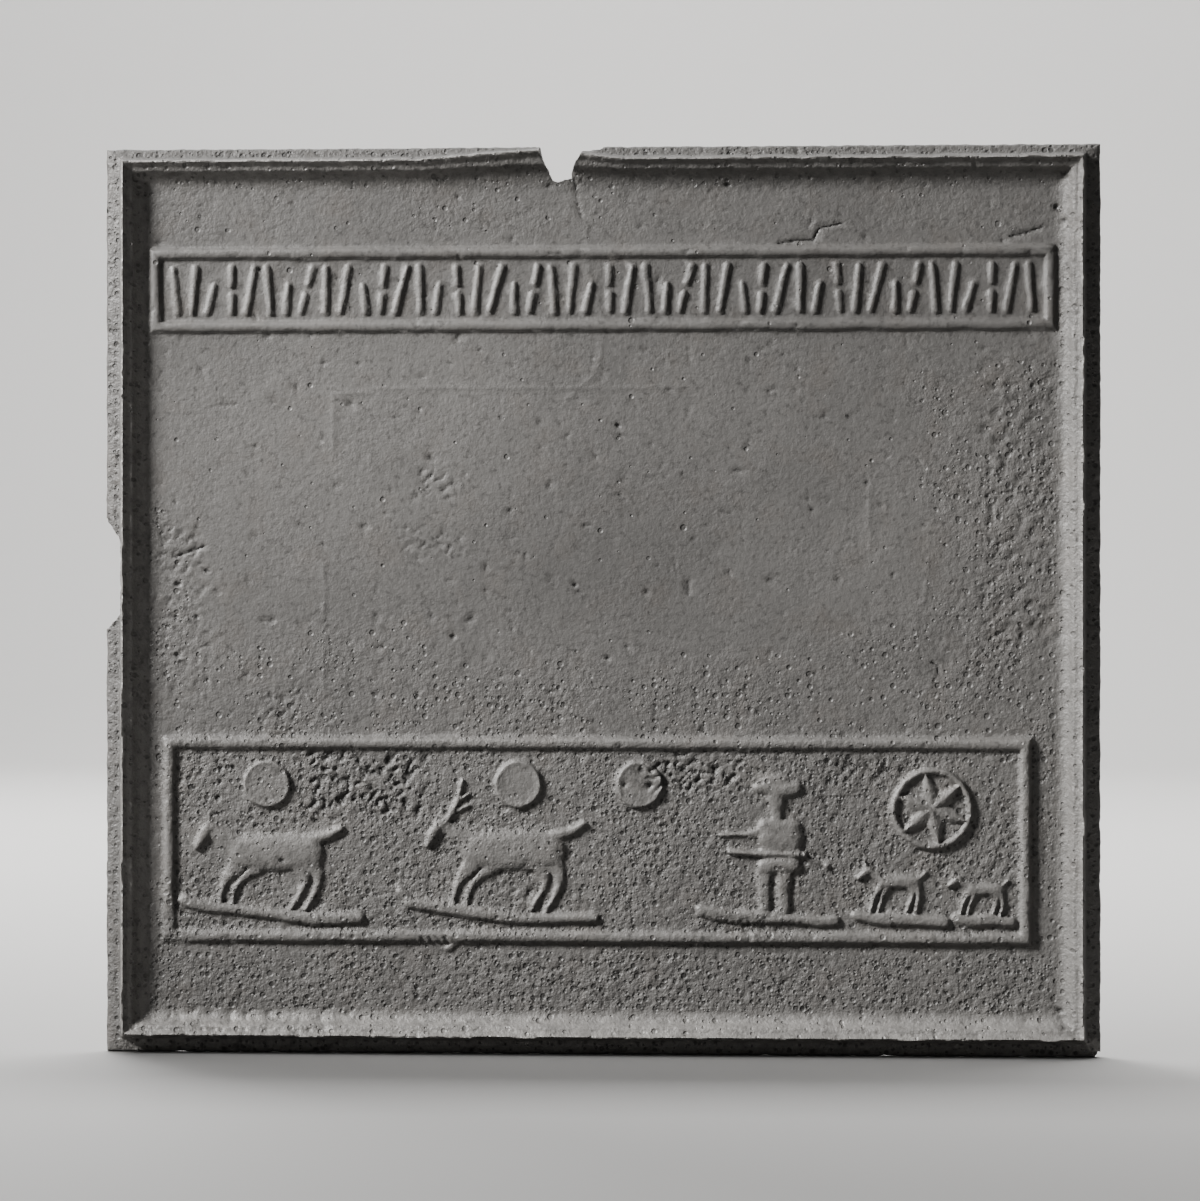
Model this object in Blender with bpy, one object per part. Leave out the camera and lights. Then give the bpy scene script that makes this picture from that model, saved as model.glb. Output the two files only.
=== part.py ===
"""Cast-iron stove plate with a moulded rim, a band of raised marks and a hunting panel.

The plate is drawn lying on its back, with x to the right, y up the plate and z out of its face,
and an empty then stands it up, so that its face looks along -Y. Its back lies in the plane y = 0
and the origin is the middle of the back.
"""

import math

import bmesh
import bpy

MM = 0.001

# The slab and the flange outside the rim, which falls away to the edge
PLATE_WIDTH = 660 * MM
PLATE_HEIGHT = 602 * MM
FIELD_THICKNESS = 7 * MM
SIDE_FLANGE = 12 * MM
TOP_FLANGE = 9 * MM
FLANGE_FALL = 2.5 * MM

# The rim: a crest, two steep drops with a narrow ledge between them, and a hollow down to the field
RIM_RISE = 11.5 * MM
RIM_DRAFT = 2 * MM
CREST_WIDTH = 1.6 * MM
LEDGE_WIDTH = 4.5 * MM
LEDGE_DROP = 4.2 * MM
LEDGE_TILT_SHARE = 0.12
DROP_SLOPE_SHARE = 0.35
HOLLOW_WIDTH = 11 * MM
HOLLOW_STEPS = 4

# The two pieces broken out of the edge, and the top rim's lean over its flange on both sides of the first
TOP_BREAK_PLACE = -17 * MM
TOP_BREAK_WIDTH = 48 * MM
TOP_BREAK_DEPTH = 24 * MM
SIDE_BREAK_PLACE = 18.5 * MM
SIDE_BREAK_LENGTH = 77 * MM
SIDE_BREAK_STRIP = 0.7 * MM
SWELL_LEFT_REACH = 84 * MM
SWELL_RIGHT_REACH = 51 * MM
SWELL_PEAK_SHARE = 0.4
SWELL_MARGIN = 0.5 * MM

# The band of marks under the top of the rim, whose ends run up into the rim's hollow
BAND_LAP = 1 * MM
BAND_DROP = 37 * MM
BAND_HEIGHT = 58 * MM
BAND_BEAD_WIDTH = 8 * MM
BAND_BEAD_RISE = 2.6 * MM
MARK_CLEARANCE = 6 * MM
MARK_PITCH = 12.6 * MM
MARK_HALF_WIDTH = 2.3 * MM
MARK_RISE = 2.4 * MM
MARK_END_SPACE = 4 * MM
MARK_GAP = 3.6 * MM
MARK_LEAN = 1.3 * MM
MARK_TAPER = 0.75

# The hunting panel, whose right end stands prouder than its left
PANEL_LEFT_SPACE = 7.5 * MM
PANEL_RIGHT_SPACE = 14.5 * MM
PANEL_FOOT_SPACE = 43 * MM
PANEL_HEIGHT = 137 * MM
PANEL_BEAD_WIDTH = 8.5 * MM
PANEL_BEAD_RISE = 3 * MM
PANEL_LEFT_RISE = 0.2 * MM
PANEL_RIGHT_RISE = 2.6 * MM

# The figures and the discs over them
FIGURE_RISE = 3.3 * MM
FAWN_LENGTH = 102 * MM
STAG_LENGTH = 110 * MM
HOUND_LENGTH = 46 * MM
PUP_LENGTH = 40 * MM
HUNTER_HEIGHT = 92 * MM
GROUND_CLEARANCE = 4.5 * MM
GROUND_HALF_WIDTH = 3.4 * MM
DISC_RADIUS = 15.8 * MM
DISC_RING = 3.8 * MM
DISC_RISE = 2.8 * MM
DISC_SINK_SHARE = 0.4
DISC_CLEARANCE = 7.3 * MM
STAR_RADIUS = 27.2 * MM
STAR_RING = 4.6 * MM
STAR_POINTS = 6
STAR_TURN = math.radians(100)
STAR_SINK_SHARE = 0.1
STAR_REACH_SHARE = 0.9
STAR_RISE_SHARE = 0.72
STAR_RISE_STEP_SHARE = 0.03
STAR_CLEARANCE = 11.3 * MM

# How the carving is cut: rounding, the slope of a stroke's sides, and how deep it is let in
CAP_STEPS = 3
BEAD_STEPS = 4
BEAD_START = math.radians(16)
ROUND_STEPS = 24
RING_TOP_SHARES = (0.3, 0.65)
SHOULDER_SHARE = 0.45
SHOULDER_WIDTH_SHARE = 0.96
TOP_WIDTH_SHARE = 0.52
LET_IN_SHARE = 0.3
LET_IN_STEP_SHARE = 0.007
LET_IN_STEPS = 16
CUT_MARGIN = 5 * MM

# Sizes that follow from those above
HALF_WIDTH = PLATE_WIDTH / 2
HALF_HEIGHT = PLATE_HEIGHT / 2
RIM_TOP = FIELD_THICKNESS + RIM_RISE
FIRST_DROP_WIDTH = DROP_SLOPE_SHARE * LEDGE_DROP
RIM_REACH = CREST_WIDTH + FIRST_DROP_WIDTH + LEDGE_WIDTH + HOLLOW_WIDTH
SIDE_CREST = HALF_WIDTH - SIDE_FLANGE
TOP_CREST = HALF_HEIGHT - TOP_FLANGE
FIELD_HALF_WIDTH = SIDE_CREST - RIM_REACH
FIELD_BOTTOM = SIDE_FLANGE + RIM_REACH - HALF_HEIGHT
FIELD_TOP = TOP_CREST - RIM_REACH
SWELL = TOP_FLANGE - RIM_DRAFT - SWELL_MARGIN
SWELL_PEAK = TOP_BREAK_PLACE - SWELL_PEAK_SHARE * TOP_BREAK_WIDTH
SIDE_BREAK_DEPTH = SIDE_FLANGE - SIDE_BREAK_STRIP
BAND_HALF_WIDTH = FIELD_HALF_WIDTH + BAND_LAP
BAND_TOP = FIELD_TOP - BAND_DROP
BAND_BOTTOM = BAND_TOP - BAND_HEIGHT
PANEL_LEFT = PANEL_LEFT_SPACE - FIELD_HALF_WIDTH
PANEL_RIGHT = FIELD_HALF_WIDTH - PANEL_RIGHT_SPACE
PANEL_BOTTOM = FIELD_BOTTOM + PANEL_FOOT_SPACE
PANEL_TOP = PANEL_BOTTOM + PANEL_HEIGHT
GROUND_LEVEL = PANEL_BOTTOM + PANEL_BEAD_WIDTH + GROUND_CLEARANCE + GROUND_HALF_WIDTH

# A stag that runs to the left. Every limb of a figure has a share of the figures' rise and then
# its (x, y, half width) points, in shares of the figure's length, from the middle of its body.
BEAST = {
    "torso": (1.0, ((-0.21, 0.0, 0.108), (-0.06, 0.0, 0.118), (0.10, 0.0, 0.118), (0.20, 0.002, 0.112))),
    "neck": (0.82, ((-0.245, 0.027, 0.08), (-0.375, 0.11, 0.053), (-0.445, 0.155, 0.04))),
    "head": (0.94, ((-0.455, 0.15, 0.037), (-0.49, 0.09, 0.038), (-0.523, 0.03, 0.021))),
    "front_leg_near": (
        0.88, ((-0.264, -0.10, 0.055), (-0.318, -0.165, 0.036), (-0.35, -0.236, 0.023), (-0.368, -0.327, 0.021))
    ),
    "front_leg_far": (
        0.74, ((-0.118, -0.11, 0.042), (-0.21, -0.17, 0.028), (-0.26, -0.236, 0.021), (-0.282, -0.336, 0.019))
    ),
    "hind_leg_far": (
        0.76, ((0.155, -0.09, 0.055), (0.195, -0.173, 0.032), (0.168, -0.255, 0.022), (0.10, -0.355, 0.019))
    ),
    "hind_leg_near": (
        0.9, ((0.236, -0.064, 0.062), (0.277, -0.173, 0.032), (0.255, -0.264, 0.023), (0.195, -0.364, 0.019))
    ),
    "tail": (0.8, ((0.235, 0.083, 0.036), (0.36, 0.108, 0.028), (0.445, 0.155, 0.018))),
}
EARS = {
    "ear_front": (0.6, ((-0.505, 0.16, 0.017), (-0.524, 0.27, 0.012))),
    "ear_back": (0.55, ((-0.437, 0.165, 0.017), (-0.44, 0.265, 0.013))),
}
ANTLER = {
    "beam": (
        0.7, ((-0.43, 0.15, 0.019), (-0.373, 0.236, 0.017), (-0.336, 0.309, 0.015), (-0.309, 0.418, 0.012))
    ),
    "tine_high": (0.62, ((-0.345, 0.295, 0.014), (-0.268, 0.336, 0.011))),
    "tine_low": (0.56, ((-0.38, 0.222, 0.014), (-0.268, 0.264, 0.011))),
}
DOG = {
    "torso": (0.9, ((-0.20, 0.0, 0.10), (0.21, 0.0, 0.10))),
    "neck": (0.75, ((-0.22, 0.04, 0.08), (-0.41, 0.14, 0.062))),
    "head": (0.85, ((-0.43, 0.175, 0.065), (-0.59, 0.06, 0.038))),
    "ear": (0.6, ((-0.46, 0.19, 0.034), (-0.50, 0.29, 0.022))),
    "front_leg_near": (0.72, ((-0.24, -0.04, 0.06), (-0.34, -0.20, 0.034), (-0.42, -0.44, 0.03))),
    "front_leg_far": (0.62, ((-0.15, -0.06, 0.05), (-0.23, -0.22, 0.033), (-0.30, -0.44, 0.029))),
    "hind_leg_far": (0.62, ((0.17, -0.05, 0.06), (0.20, -0.20, 0.036), (0.10, -0.44, 0.03))),
    "hind_leg_near": (0.76, ((0.24, -0.02, 0.075), (0.29, -0.23, 0.039), (0.23, -0.455, 0.031))),
    "tail": (0.6, ((0.28, 0.05, 0.036), (0.38, 0.17, 0.024))),
}
# The hunter's points are in shares of the figure's height, from between its feet
HUNTER = {
    "leg_left": (0.8, ((-0.105, 0.28, 0.048), (-0.118, 0.13, 0.045), (-0.13, 0.03, 0.042))),
    "foot_left": (0.66, ((-0.13, 0.012, 0.03), (-0.185, 0.003, 0.024))),
    "leg_right": (0.84, ((0.05, 0.28, 0.053), (0.05, 0.13, 0.047), (0.045, 0.03, 0.044))),
    "foot_right": (0.7, ((0.045, 0.012, 0.034), (-0.01, 0.003, 0.026))),
    "coat": (0.9, ((-0.10, 0.348, 0.062), (0.10, 0.348, 0.062))),
    "body": (1.0, ((-0.045, 0.587, 0.115), (0.05, 0.58, 0.115))),
    "arm": (0.74, ((-0.13, 0.56, 0.046), (-0.25, 0.552, 0.028), (-0.39, 0.565, 0.018))),
    "gun": (1.08, ((-0.34, 0.475, 0.017), (-0.30, 0.447, 0.021), (0.26, 0.437, 0.023))),
    "sword": (0.6, ((0.19, 0.415, 0.017), (0.29, 0.375, 0.014), (0.385, 0.335, 0.02))),
    "head": (0.86, ((0.0, 0.815, 0.066), (-0.005, 0.765, 0.06))),
    "hat": (0.95, ((-0.10, 0.945, 0.044), (0.02, 0.935, 0.04), (0.115, 0.94, 0.056))),
}

# Who stands where: the limbs, the size, the share of the panel's width where the figure stands, how high
# its middle is over the ground in shares of its size, and its ground's reach left and right and its sweep
CAST = {
    "fawn": ({**BEAST, **EARS}, FAWN_LENGTH, 0.132, 0.43, 61 * MM, 55 * MM, 12 * MM),
    "stag": ({**BEAST, **EARS, **ANTLER}, STAG_LENGTH, 0.407, 0.418, 70 * MM, 53 * MM, 11 * MM),
    "hunter": (HUNTER, HUNTER_HEIGHT, 0.707, 0.037, 49 * MM, 39 * MM, 6 * MM),
    "hound": (DOG, HOUND_LENGTH, 0.848, 0.555, 28 * MM, 30 * MM, 3 * MM),
    "pup": (DOG, PUP_LENGTH, 0.946, 0.52, 18 * MM, 17 * MM, 1.5 * MM),
}

# The outlines of the breaks: shares of the length along the edge, from its middle, and of the depth
NOTCH = (
    (-0.5, -0.2), (-0.49, 0.167), (-0.437, 0.458), (-0.344, 0.833), (-0.27, 1.0), (-0.115, 0.908),
    (-0.02, 0.896), (0.031, 0.542), (0.104, 0.271), (0.167, 0.125), (0.354, 0.062), (0.52, -0.2),
)
BITE = (
    (0.55, -0.4), (0.435, 0.17), (0.29, 0.83), (0.24, 0.96),
    (-0.05, 1.0), (-0.33, 0.95), (-0.474, 0.17), (-0.54, -0.4),
)
DISC_SHARES = (0.121, 0.412, 0.551)
STAR_POINT = ((0.06, 0.12), (0.42, 0.22), (1.0, 0.03))
STAR_SHARE = 0.886
GROUND_POINTS = 6
GROUND_CURVE = 2.4
GROUND_RISE_SHARE = 0.95


def panel_x(share):
    """The place at a share of the hunting panel's width."""
    return PANEL_LEFT + (PANEL_RIGHT - PANEL_LEFT) * share


def panel_rise(x):
    """How far the hunting panel's floor stands above the field at x."""
    share = (x - PANEL_LEFT) / (PANEL_RIGHT - PANEL_LEFT)
    return PANEL_LEFT_RISE + (PANEL_RIGHT_RISE - PANEL_LEFT_RISE) * share


def rim_profile():
    """(distance in from the crest line, height above the back) from the rim's outer foot to the field."""
    ledge = RIM_TOP - LEDGE_DROP
    ledge_start = CREST_WIDTH + FIRST_DROP_WIDTH
    hollow_start = ledge_start + LEDGE_WIDTH
    hollow_top = ledge - LEDGE_TILT_SHARE * LEDGE_DROP
    points = [(-RIM_DRAFT, FIELD_THICKNESS + FLANGE_FALL), (0, RIM_TOP), (CREST_WIDTH, RIM_TOP)]
    points += [(ledge_start, ledge), (hollow_start, hollow_top)]
    fall = hollow_top - FIELD_THICKNESS
    for step in range(1, HOLLOW_STEPS + 1):
        turn = math.pi / 2 * step / HOLLOW_STEPS
        inward = hollow_start + HOLLOW_WIDTH * (1 - math.cos(turn))
        points.append((inward, FIELD_THICKNESS + fall * (1 - math.sin(turn))))
    return points


def new_object(name, work, parent):
    """An object with the bmesh as its mesh, hung on the parent empty."""
    bmesh.ops.recalc_face_normals(work, faces=work.faces)
    mesh = bpy.data.meshes.new(name)
    work.to_mesh(mesh)
    work.free()
    item = bpy.data.objects.new(name, mesh)
    bpy.context.scene.collection.objects.link(item)
    item.parent = parent
    return item


def stacked(name, loops, parent):
    """A closed solid through outlines of equal length, lists of (x, y, z), from the lowest to the last."""
    work = bmesh.new()
    rings = [[work.verts.new(point) for point in loop] for loop in loops]
    for low, high in zip(rings, rings[1:]):
        for i in range(len(low)):
            after = (i + 1) % len(low)
            work.faces.new((low[i], low[after], high[after], high[i]))
    work.faces.new(rings[0][::-1])
    work.faces.new(rings[-1])
    return new_object(name, work, parent)


def rectangle(left, bottom, right, top, z):
    return [(left, bottom, z), (right, bottom, z), (right, top, z), (left, top, z)]


def plate_loop(side, head, swell, z):
    """An outline of the plate, in from its edges by side and head, whose top swells out beside the break."""
    left, bottom, right, top = side - HALF_WIDTH, side - HALF_HEIGHT, HALF_WIDTH - side, HALF_HEIGHT - head
    corners = rectangle(left, bottom, right, top, z)
    swollen = [
        (SWELL_PEAK + SWELL_RIGHT_REACH, top, z),
        (SWELL_PEAK, top + swell, z),
        (SWELL_PEAK - SWELL_LEFT_REACH, top, z),
    ]
    return corners[:3] + swollen + corners[3:]


def slab(parent):
    """The slab with its mitred rim, as one stack of outlines."""
    loops = [plate_loop(0, 0, 0, z) for z in (0, FIELD_THICKNESS)]
    for inward, height in rim_profile():
        swell = SWELL * (1 - max(inward, 0) / RIM_REACH)
        loops.append(plate_loop(SIDE_FLANGE + inward, TOP_FLANGE + inward, swell, height))
    return stacked("stove_plate", loops, parent)


def outline(points, share):
    """The outline of a limb that follows (x, y, half width) points, with its half widths cut to a share."""
    left, right = [], []
    last = len(points) - 1
    for i, (x, y, half) in enumerate(points):
        ahead, behind = points[min(i + 1, last)], points[max(i - 1, 0)]
        heading = math.atan2(ahead[1] - behind[1], ahead[0] - behind[0])
        reach = half * share
        left.append((x - reach * math.sin(heading), y + reach * math.cos(heading)))
        right.append((x + reach * math.sin(heading), y - reach * math.cos(heading)))
        if i == 0:
            start = cap(x, y, reach, heading + math.pi / 2)
        if i == last:
            end = cap(x, y, reach, heading - math.pi / 2)
    return right + end + left[::-1] + start


def cap(x, y, reach, turn):
    """The points that round off one end of a limb."""
    angles = [turn + math.pi * step / CAP_STEPS for step in range(1, CAP_STEPS)]
    return [(x + reach * math.cos(angle), y + reach * math.sin(angle)) for angle in angles]


class Carving:
    """Collects the raised forms. Each is let in to a depth of its own, so that no two share a plane."""

    def __init__(self, parent):
        self.parent = parent
        self.items = []

    def foot(self):
        """The height above the back that the next form starts from."""
        depth_share = LET_IN_SHARE + LET_IN_STEP_SHARE * (len(self.items) % LET_IN_STEPS)
        return FIELD_THICKNESS * (1 - depth_share)

    def limb(self, name, points, rise, floor):
        """A rounded raised stroke along (x, y, half width) points, rise above a floor at that height."""
        levels = (
            (self.foot(), 1),
            (floor + SHOULDER_SHARE * rise, SHOULDER_WIDTH_SHARE),
            (floor + rise, TOP_WIDTH_SHARE),
        )
        loops = [[(x, y, z) for x, y in outline(points, share)] for z, share in levels]
        self.items.append(stacked(name, loops, self.parent))

    def ring(self, name, centre, radius, width, middle, top):
        """A disc with a raised ring of that width round its middle, at those two heights above the back."""
        profile = (
            (radius, self.foot()),
            (radius, (middle + top) / 2),
            (radius - RING_TOP_SHARES[0] * width, top),
            (radius - RING_TOP_SHARES[1] * width, top),
            (radius - width, middle),
        )
        turns = [2 * math.pi * step / ROUND_STEPS for step in range(ROUND_STEPS)]
        x, y = centre
        loops = []
        for reach, height in profile:
            loops.append([(x + reach * math.cos(turn), y + reach * math.sin(turn), height) for turn in turns])
        self.items.append(stacked(name, loops, self.parent))

    def bead(self, name, corners, width, rise, floor_at):
        """A half-round bead round a rectangle, on a floor whose height above the back is floor_at(x)."""
        left, bottom, right, top = corners
        sections = [(0, None)]
        for step in range(BEAD_STEPS + 1):
            turn = BEAD_START + (math.pi - 2 * BEAD_START) * step / BEAD_STEPS
            inward = (1 - math.cos(turn) / math.cos(BEAD_START)) / 2 * width
            sections.append((inward, rise * math.sin(turn)))
        sections.append((width, None))
        foot = self.foot()
        work = bmesh.new()
        rings = []
        for inward, height in sections:
            ring = rectangle(left + inward, bottom + inward, right - inward, top - inward, foot)
            if height is not None:
                ring = [(x, y, floor_at(x) + height) for x, y, _ in ring]
            rings.append([work.verts.new(point) for point in ring])
        for low, high in zip(rings, rings[1:] + rings[:1]):
            for i in range(len(low)):
                after = (i + 1) % len(low)
                work.faces.new((low[i], low[after], high[after], high[i]))
        self.items.append(new_object(name, work, self.parent))


def mark_spans(number, half):
    """The stretches of one mark, up and down from the band's middle: whole, short, or parted by a gap."""
    parting = half / 5
    kind = (number * 5 + number // 4) % 7
    if kind == 1:
        return (-half, -MARK_GAP), (MARK_GAP, half)
    if kind == 3:
        return ((-half, parting),)
    if kind == 4:
        return (-half, parting), (parting + 2 * MARK_GAP, half)
    if kind == 6:
        return (-half, -parting - 2 * MARK_GAP), (-parting, half)
    return ((-half, half),)


def add_band(carving):
    """The bead round the band, and its row of leaning wedges, whole or parted by turns."""
    corners = (-BAND_HALF_WIDTH, BAND_BOTTOM, BAND_HALF_WIDTH, BAND_TOP)
    carving.bead("band_bead", corners, BAND_BEAD_WIDTH, BAND_BEAD_RISE, lambda x: FIELD_THICKNESS)
    middle = (BAND_BOTTOM + BAND_TOP) / 2
    half = BAND_HEIGHT / 2 - BAND_BEAD_WIDTH - MARK_CLEARANCE
    reach = BAND_HALF_WIDTH - BAND_BEAD_WIDTH - MARK_END_SPACE - MARK_HALF_WIDTH
    count = int(2 * reach / MARK_PITCH) + 1
    for number in range(count):
        x = (number - (count - 1) / 2) * MARK_PITCH
        lean = MARK_LEAN * ((number * 7) % 5 - 1)
        low_half, high_half = MARK_HALF_WIDTH, MARK_HALF_WIDTH * MARK_TAPER
        if number % 2:
            low_half, high_half = high_half, low_half
        for part, (low, high) in enumerate(mark_spans(number, half)):
            points = (
                (x + lean * low / half, middle + low, low_half),
                (x + lean * high / half, middle + high, high_half),
            )
            carving.limb(f"mark_{number}_{part}", points, MARK_RISE, FIELD_THICKNESS)


def add_panel(carving):
    """The bead round the hunting panel and the panel's tilted floor."""
    inset = PANEL_BEAD_WIDTH / 2
    corners = (PANEL_LEFT + inset, PANEL_BOTTOM + inset, PANEL_RIGHT - inset, PANEL_TOP - inset)
    low = rectangle(*corners, carving.foot())
    high = [(x, y, FIELD_THICKNESS + panel_rise(x)) for x, y, _ in low]
    carving.items.append(stacked("panel_floor", (low, high), carving.parent))
    corners = (PANEL_LEFT, PANEL_BOTTOM, PANEL_RIGHT, PANEL_TOP)
    carving.bead(
        "panel_bead", corners, PANEL_BEAD_WIDTH, PANEL_BEAD_RISE, lambda x: FIELD_THICKNESS + panel_rise(x)
    )


def add_cast(carving):
    """The figures, and under each a strip of ground that is level on the right and swept up on the left."""
    for name, (limbs, size, share, height, left_reach, right_reach, sweep) in CAST.items():
        middle_x, middle_y = panel_x(share), GROUND_LEVEL + height * size
        for part, (rise, points) in limbs.items():
            placed = [(middle_x + x * size, middle_y + y * size, half * size) for x, y, half in points]
            floor = FIELD_THICKNESS + panel_rise(placed[0][0])
            carving.limb(f"{name}_{part}", placed, rise * FIGURE_RISE, floor)
        length = left_reach + right_reach
        ground = []
        for step in range(GROUND_POINTS):
            along = step / (GROUND_POINTS - 1)
            lift = sweep * (1 - along) ** GROUND_CURVE
            ground.append((middle_x - left_reach + length * along, GROUND_LEVEL + lift, GROUND_HALF_WIDTH))
        floor = FIELD_THICKNESS + panel_rise(middle_x)
        carving.limb(f"{name}_ground", ground, GROUND_RISE_SHARE * FIGURE_RISE, floor)


def add_discs(carving):
    """The three plain discs: a raised ring round a lower middle."""
    for number, share in enumerate(DISC_SHARES):
        centre = (panel_x(share), PANEL_TOP - PANEL_BEAD_WIDTH - DISC_CLEARANCE - DISC_RADIUS)
        floor = FIELD_THICKNESS + panel_rise(centre[0])
        middle = floor + DISC_SINK_SHARE * DISC_RISE
        carving.ring(f"disc_{number}", centre, DISC_RADIUS, DISC_RING, middle, floor + DISC_RISE)


def add_star(carving):
    """The large disc: a ring round a six-pointed star whose points swell and taper."""
    centre = (panel_x(STAR_SHARE), PANEL_TOP - PANEL_BEAD_WIDTH - STAR_CLEARANCE - STAR_RADIUS)
    floor = FIELD_THICKNESS + panel_rise(centre[0])
    middle = floor + STAR_SINK_SHARE * FIGURE_RISE
    carving.ring("star_ring", centre, STAR_RADIUS, STAR_RING, middle, floor + FIGURE_RISE)
    reach = STAR_RADIUS - STAR_REACH_SHARE * STAR_RING
    for point in range(STAR_POINTS):
        angle = STAR_TURN + 2 * math.pi * point / STAR_POINTS
        across, up = reach * math.cos(angle), reach * math.sin(angle)
        points = [
            (centre[0] + along * across, centre[1] + along * up, half * reach) for along, half in STAR_POINT
        ]
        rise = STAR_RISE_SHARE + STAR_RISE_STEP_SHARE * point
        carving.limb(f"star_point_{point}", points, rise * FIGURE_RISE, floor)


def break_cutters(parent):
    """Cutters for the notch through the top rim and for the length of flange lost from the left edge."""
    low, high = -CUT_MARGIN, RIM_TOP + CUT_MARGIN
    notch = [
        (TOP_BREAK_PLACE + along * TOP_BREAK_WIDTH, HALF_HEIGHT - depth * TOP_BREAK_DEPTH)
        for along, depth in NOTCH
    ]
    bite = [
        (depth * SIDE_BREAK_DEPTH - HALF_WIDTH, SIDE_BREAK_PLACE + along * SIDE_BREAK_LENGTH)
        for along, depth in BITE
    ]
    cutters = []
    for name, corners in (("break_top", notch), ("break_left", bite)):
        loops = [[(x, y, z) for x, y in corners] for z in (low, high)]
        cutters.append(stacked(name, loops, parent))
    return cutters


def helpers(name, items):
    """A collection for helper solids, which are hidden from the render and drawn as wire."""
    group = bpy.data.collections.new(name)
    bpy.context.scene.collection.children.link(group)
    for item in items:
        bpy.context.scene.collection.objects.unlink(item)
        group.objects.link(item)
        item.hide_render = True
        item.display_type = "WIRE"
    return group


def cast_iron():
    """Bare grey iron, dull and slightly rough."""
    material = bpy.data.materials.new("cast_iron")
    material.use_nodes = True
    shader = material.node_tree.nodes["Principled BSDF"]
    shader.inputs["Base Color"].default_value = (0.16, 0.155, 0.148, 1)
    shader.inputs["Metallic"].default_value = 0.35
    shader.inputs["Roughness"].default_value = 0.62
    return material


def main():
    for item in list(bpy.data.objects):
        bpy.data.objects.remove(item)
    stand = bpy.data.objects.new("stand_up", None)
    bpy.context.scene.collection.objects.link(stand)
    stand.rotation_euler = (math.pi / 2, 0, 0)
    plate = slab(stand)
    carving = Carving(stand)
    add_band(carving)
    add_panel(carving)
    add_cast(carving)
    add_discs(carving)
    add_star(carving)
    changes = (("carving", "UNION", carving.items), ("breaks", "DIFFERENCE", break_cutters(stand)))
    for name, operation, items in changes:
        change = plate.modifiers.new(name, "BOOLEAN")
        change.operation = operation
        change.operand_type = "COLLECTION"
        change.collection = helpers(name, items)
        change.solver = "EXACT"
    plate.data.materials.append(cast_iron())


main()
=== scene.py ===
"""The stove plate's visible shape and finish, with a plain stage, laid out as an add-on."""

import math

import bpy
import numpy as np
from bpy.props import FloatProperty, FloatVectorProperty, PointerProperty
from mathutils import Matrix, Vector


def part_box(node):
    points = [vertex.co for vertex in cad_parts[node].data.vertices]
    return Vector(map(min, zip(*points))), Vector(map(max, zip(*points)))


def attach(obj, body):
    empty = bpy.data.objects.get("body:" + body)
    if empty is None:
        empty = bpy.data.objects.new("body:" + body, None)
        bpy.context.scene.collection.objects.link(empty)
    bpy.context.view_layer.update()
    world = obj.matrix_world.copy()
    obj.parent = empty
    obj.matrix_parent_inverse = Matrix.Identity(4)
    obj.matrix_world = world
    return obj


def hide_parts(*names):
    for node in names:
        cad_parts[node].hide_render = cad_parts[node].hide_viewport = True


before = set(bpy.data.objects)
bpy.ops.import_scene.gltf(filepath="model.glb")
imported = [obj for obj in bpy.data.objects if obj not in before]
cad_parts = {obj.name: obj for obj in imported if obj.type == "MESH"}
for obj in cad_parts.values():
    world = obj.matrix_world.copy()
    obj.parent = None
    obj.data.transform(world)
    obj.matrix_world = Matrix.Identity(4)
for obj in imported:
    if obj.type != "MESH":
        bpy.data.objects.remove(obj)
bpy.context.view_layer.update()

bl_info = {
    "name": "Cast-iron stove plate",
    "version": (1, 0, 0),
    "blender": (4, 5, 0),
    "location": "View3D > Sidebar > Stove plate",
    "description": "Casts a stove plate with its rim, band, panel and figures, and sets a plain stage for it",
    "category": "Object",
}

PLATE_LOW, PLATE_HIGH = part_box("stove_plate")
PLATE_SIZE = PLATE_HIGH - PLATE_LOW

# Every size from here to the stage's is in millimetres: x to the right, z up the plate and height from its back.
MM = 1000
FLANGE, TOP_FLANGE, FLANGE_FALL = 12.0, 9.0, 2.5
RIM_DRAFT, CREST, FIRST_DROP, LEDGE, LEDGE_DROP, LEDGE_TILT, HOLLOW = 2.0, 1.6, 1.47, 4.5, 3.2, 0.14, 11.0
RIM_REACH = CREST + FIRST_DROP + LEDGE + HOLLOW
BAND_DROP, BAND_HEIGHT, BAND_BEAD, BAND_LAP = 38.8, 56.2, 7.6, 1.0
PANEL_LEFT_SPACE, PANEL_RIGHT_SPACE, PANEL_FOOT_SPACE, PANEL_HEIGHT, PANEL_BEAD = 7.5, 14.5, 43.0, 137.0, 8.5
PANEL_RISES = 0.2, 1.0
MARK_PITCH, MARK_HALF_WIDTH, MARK_GAP, MARK_CLEARANCE = 12.6, 2.6, 3.6, 5.8
GROUND_LIFT, GROUND_HALF_WIDTH = 7.6, 4.5
DISC_RADIUS, DISC_RING, DISC_DROP = 15.8, 3.4, 7.3
STAR_RADIUS, STAR_RING, STAR_DROP, STAR_TURN = 27.2, 4.6, 11.3, math.radians(100)

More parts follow.
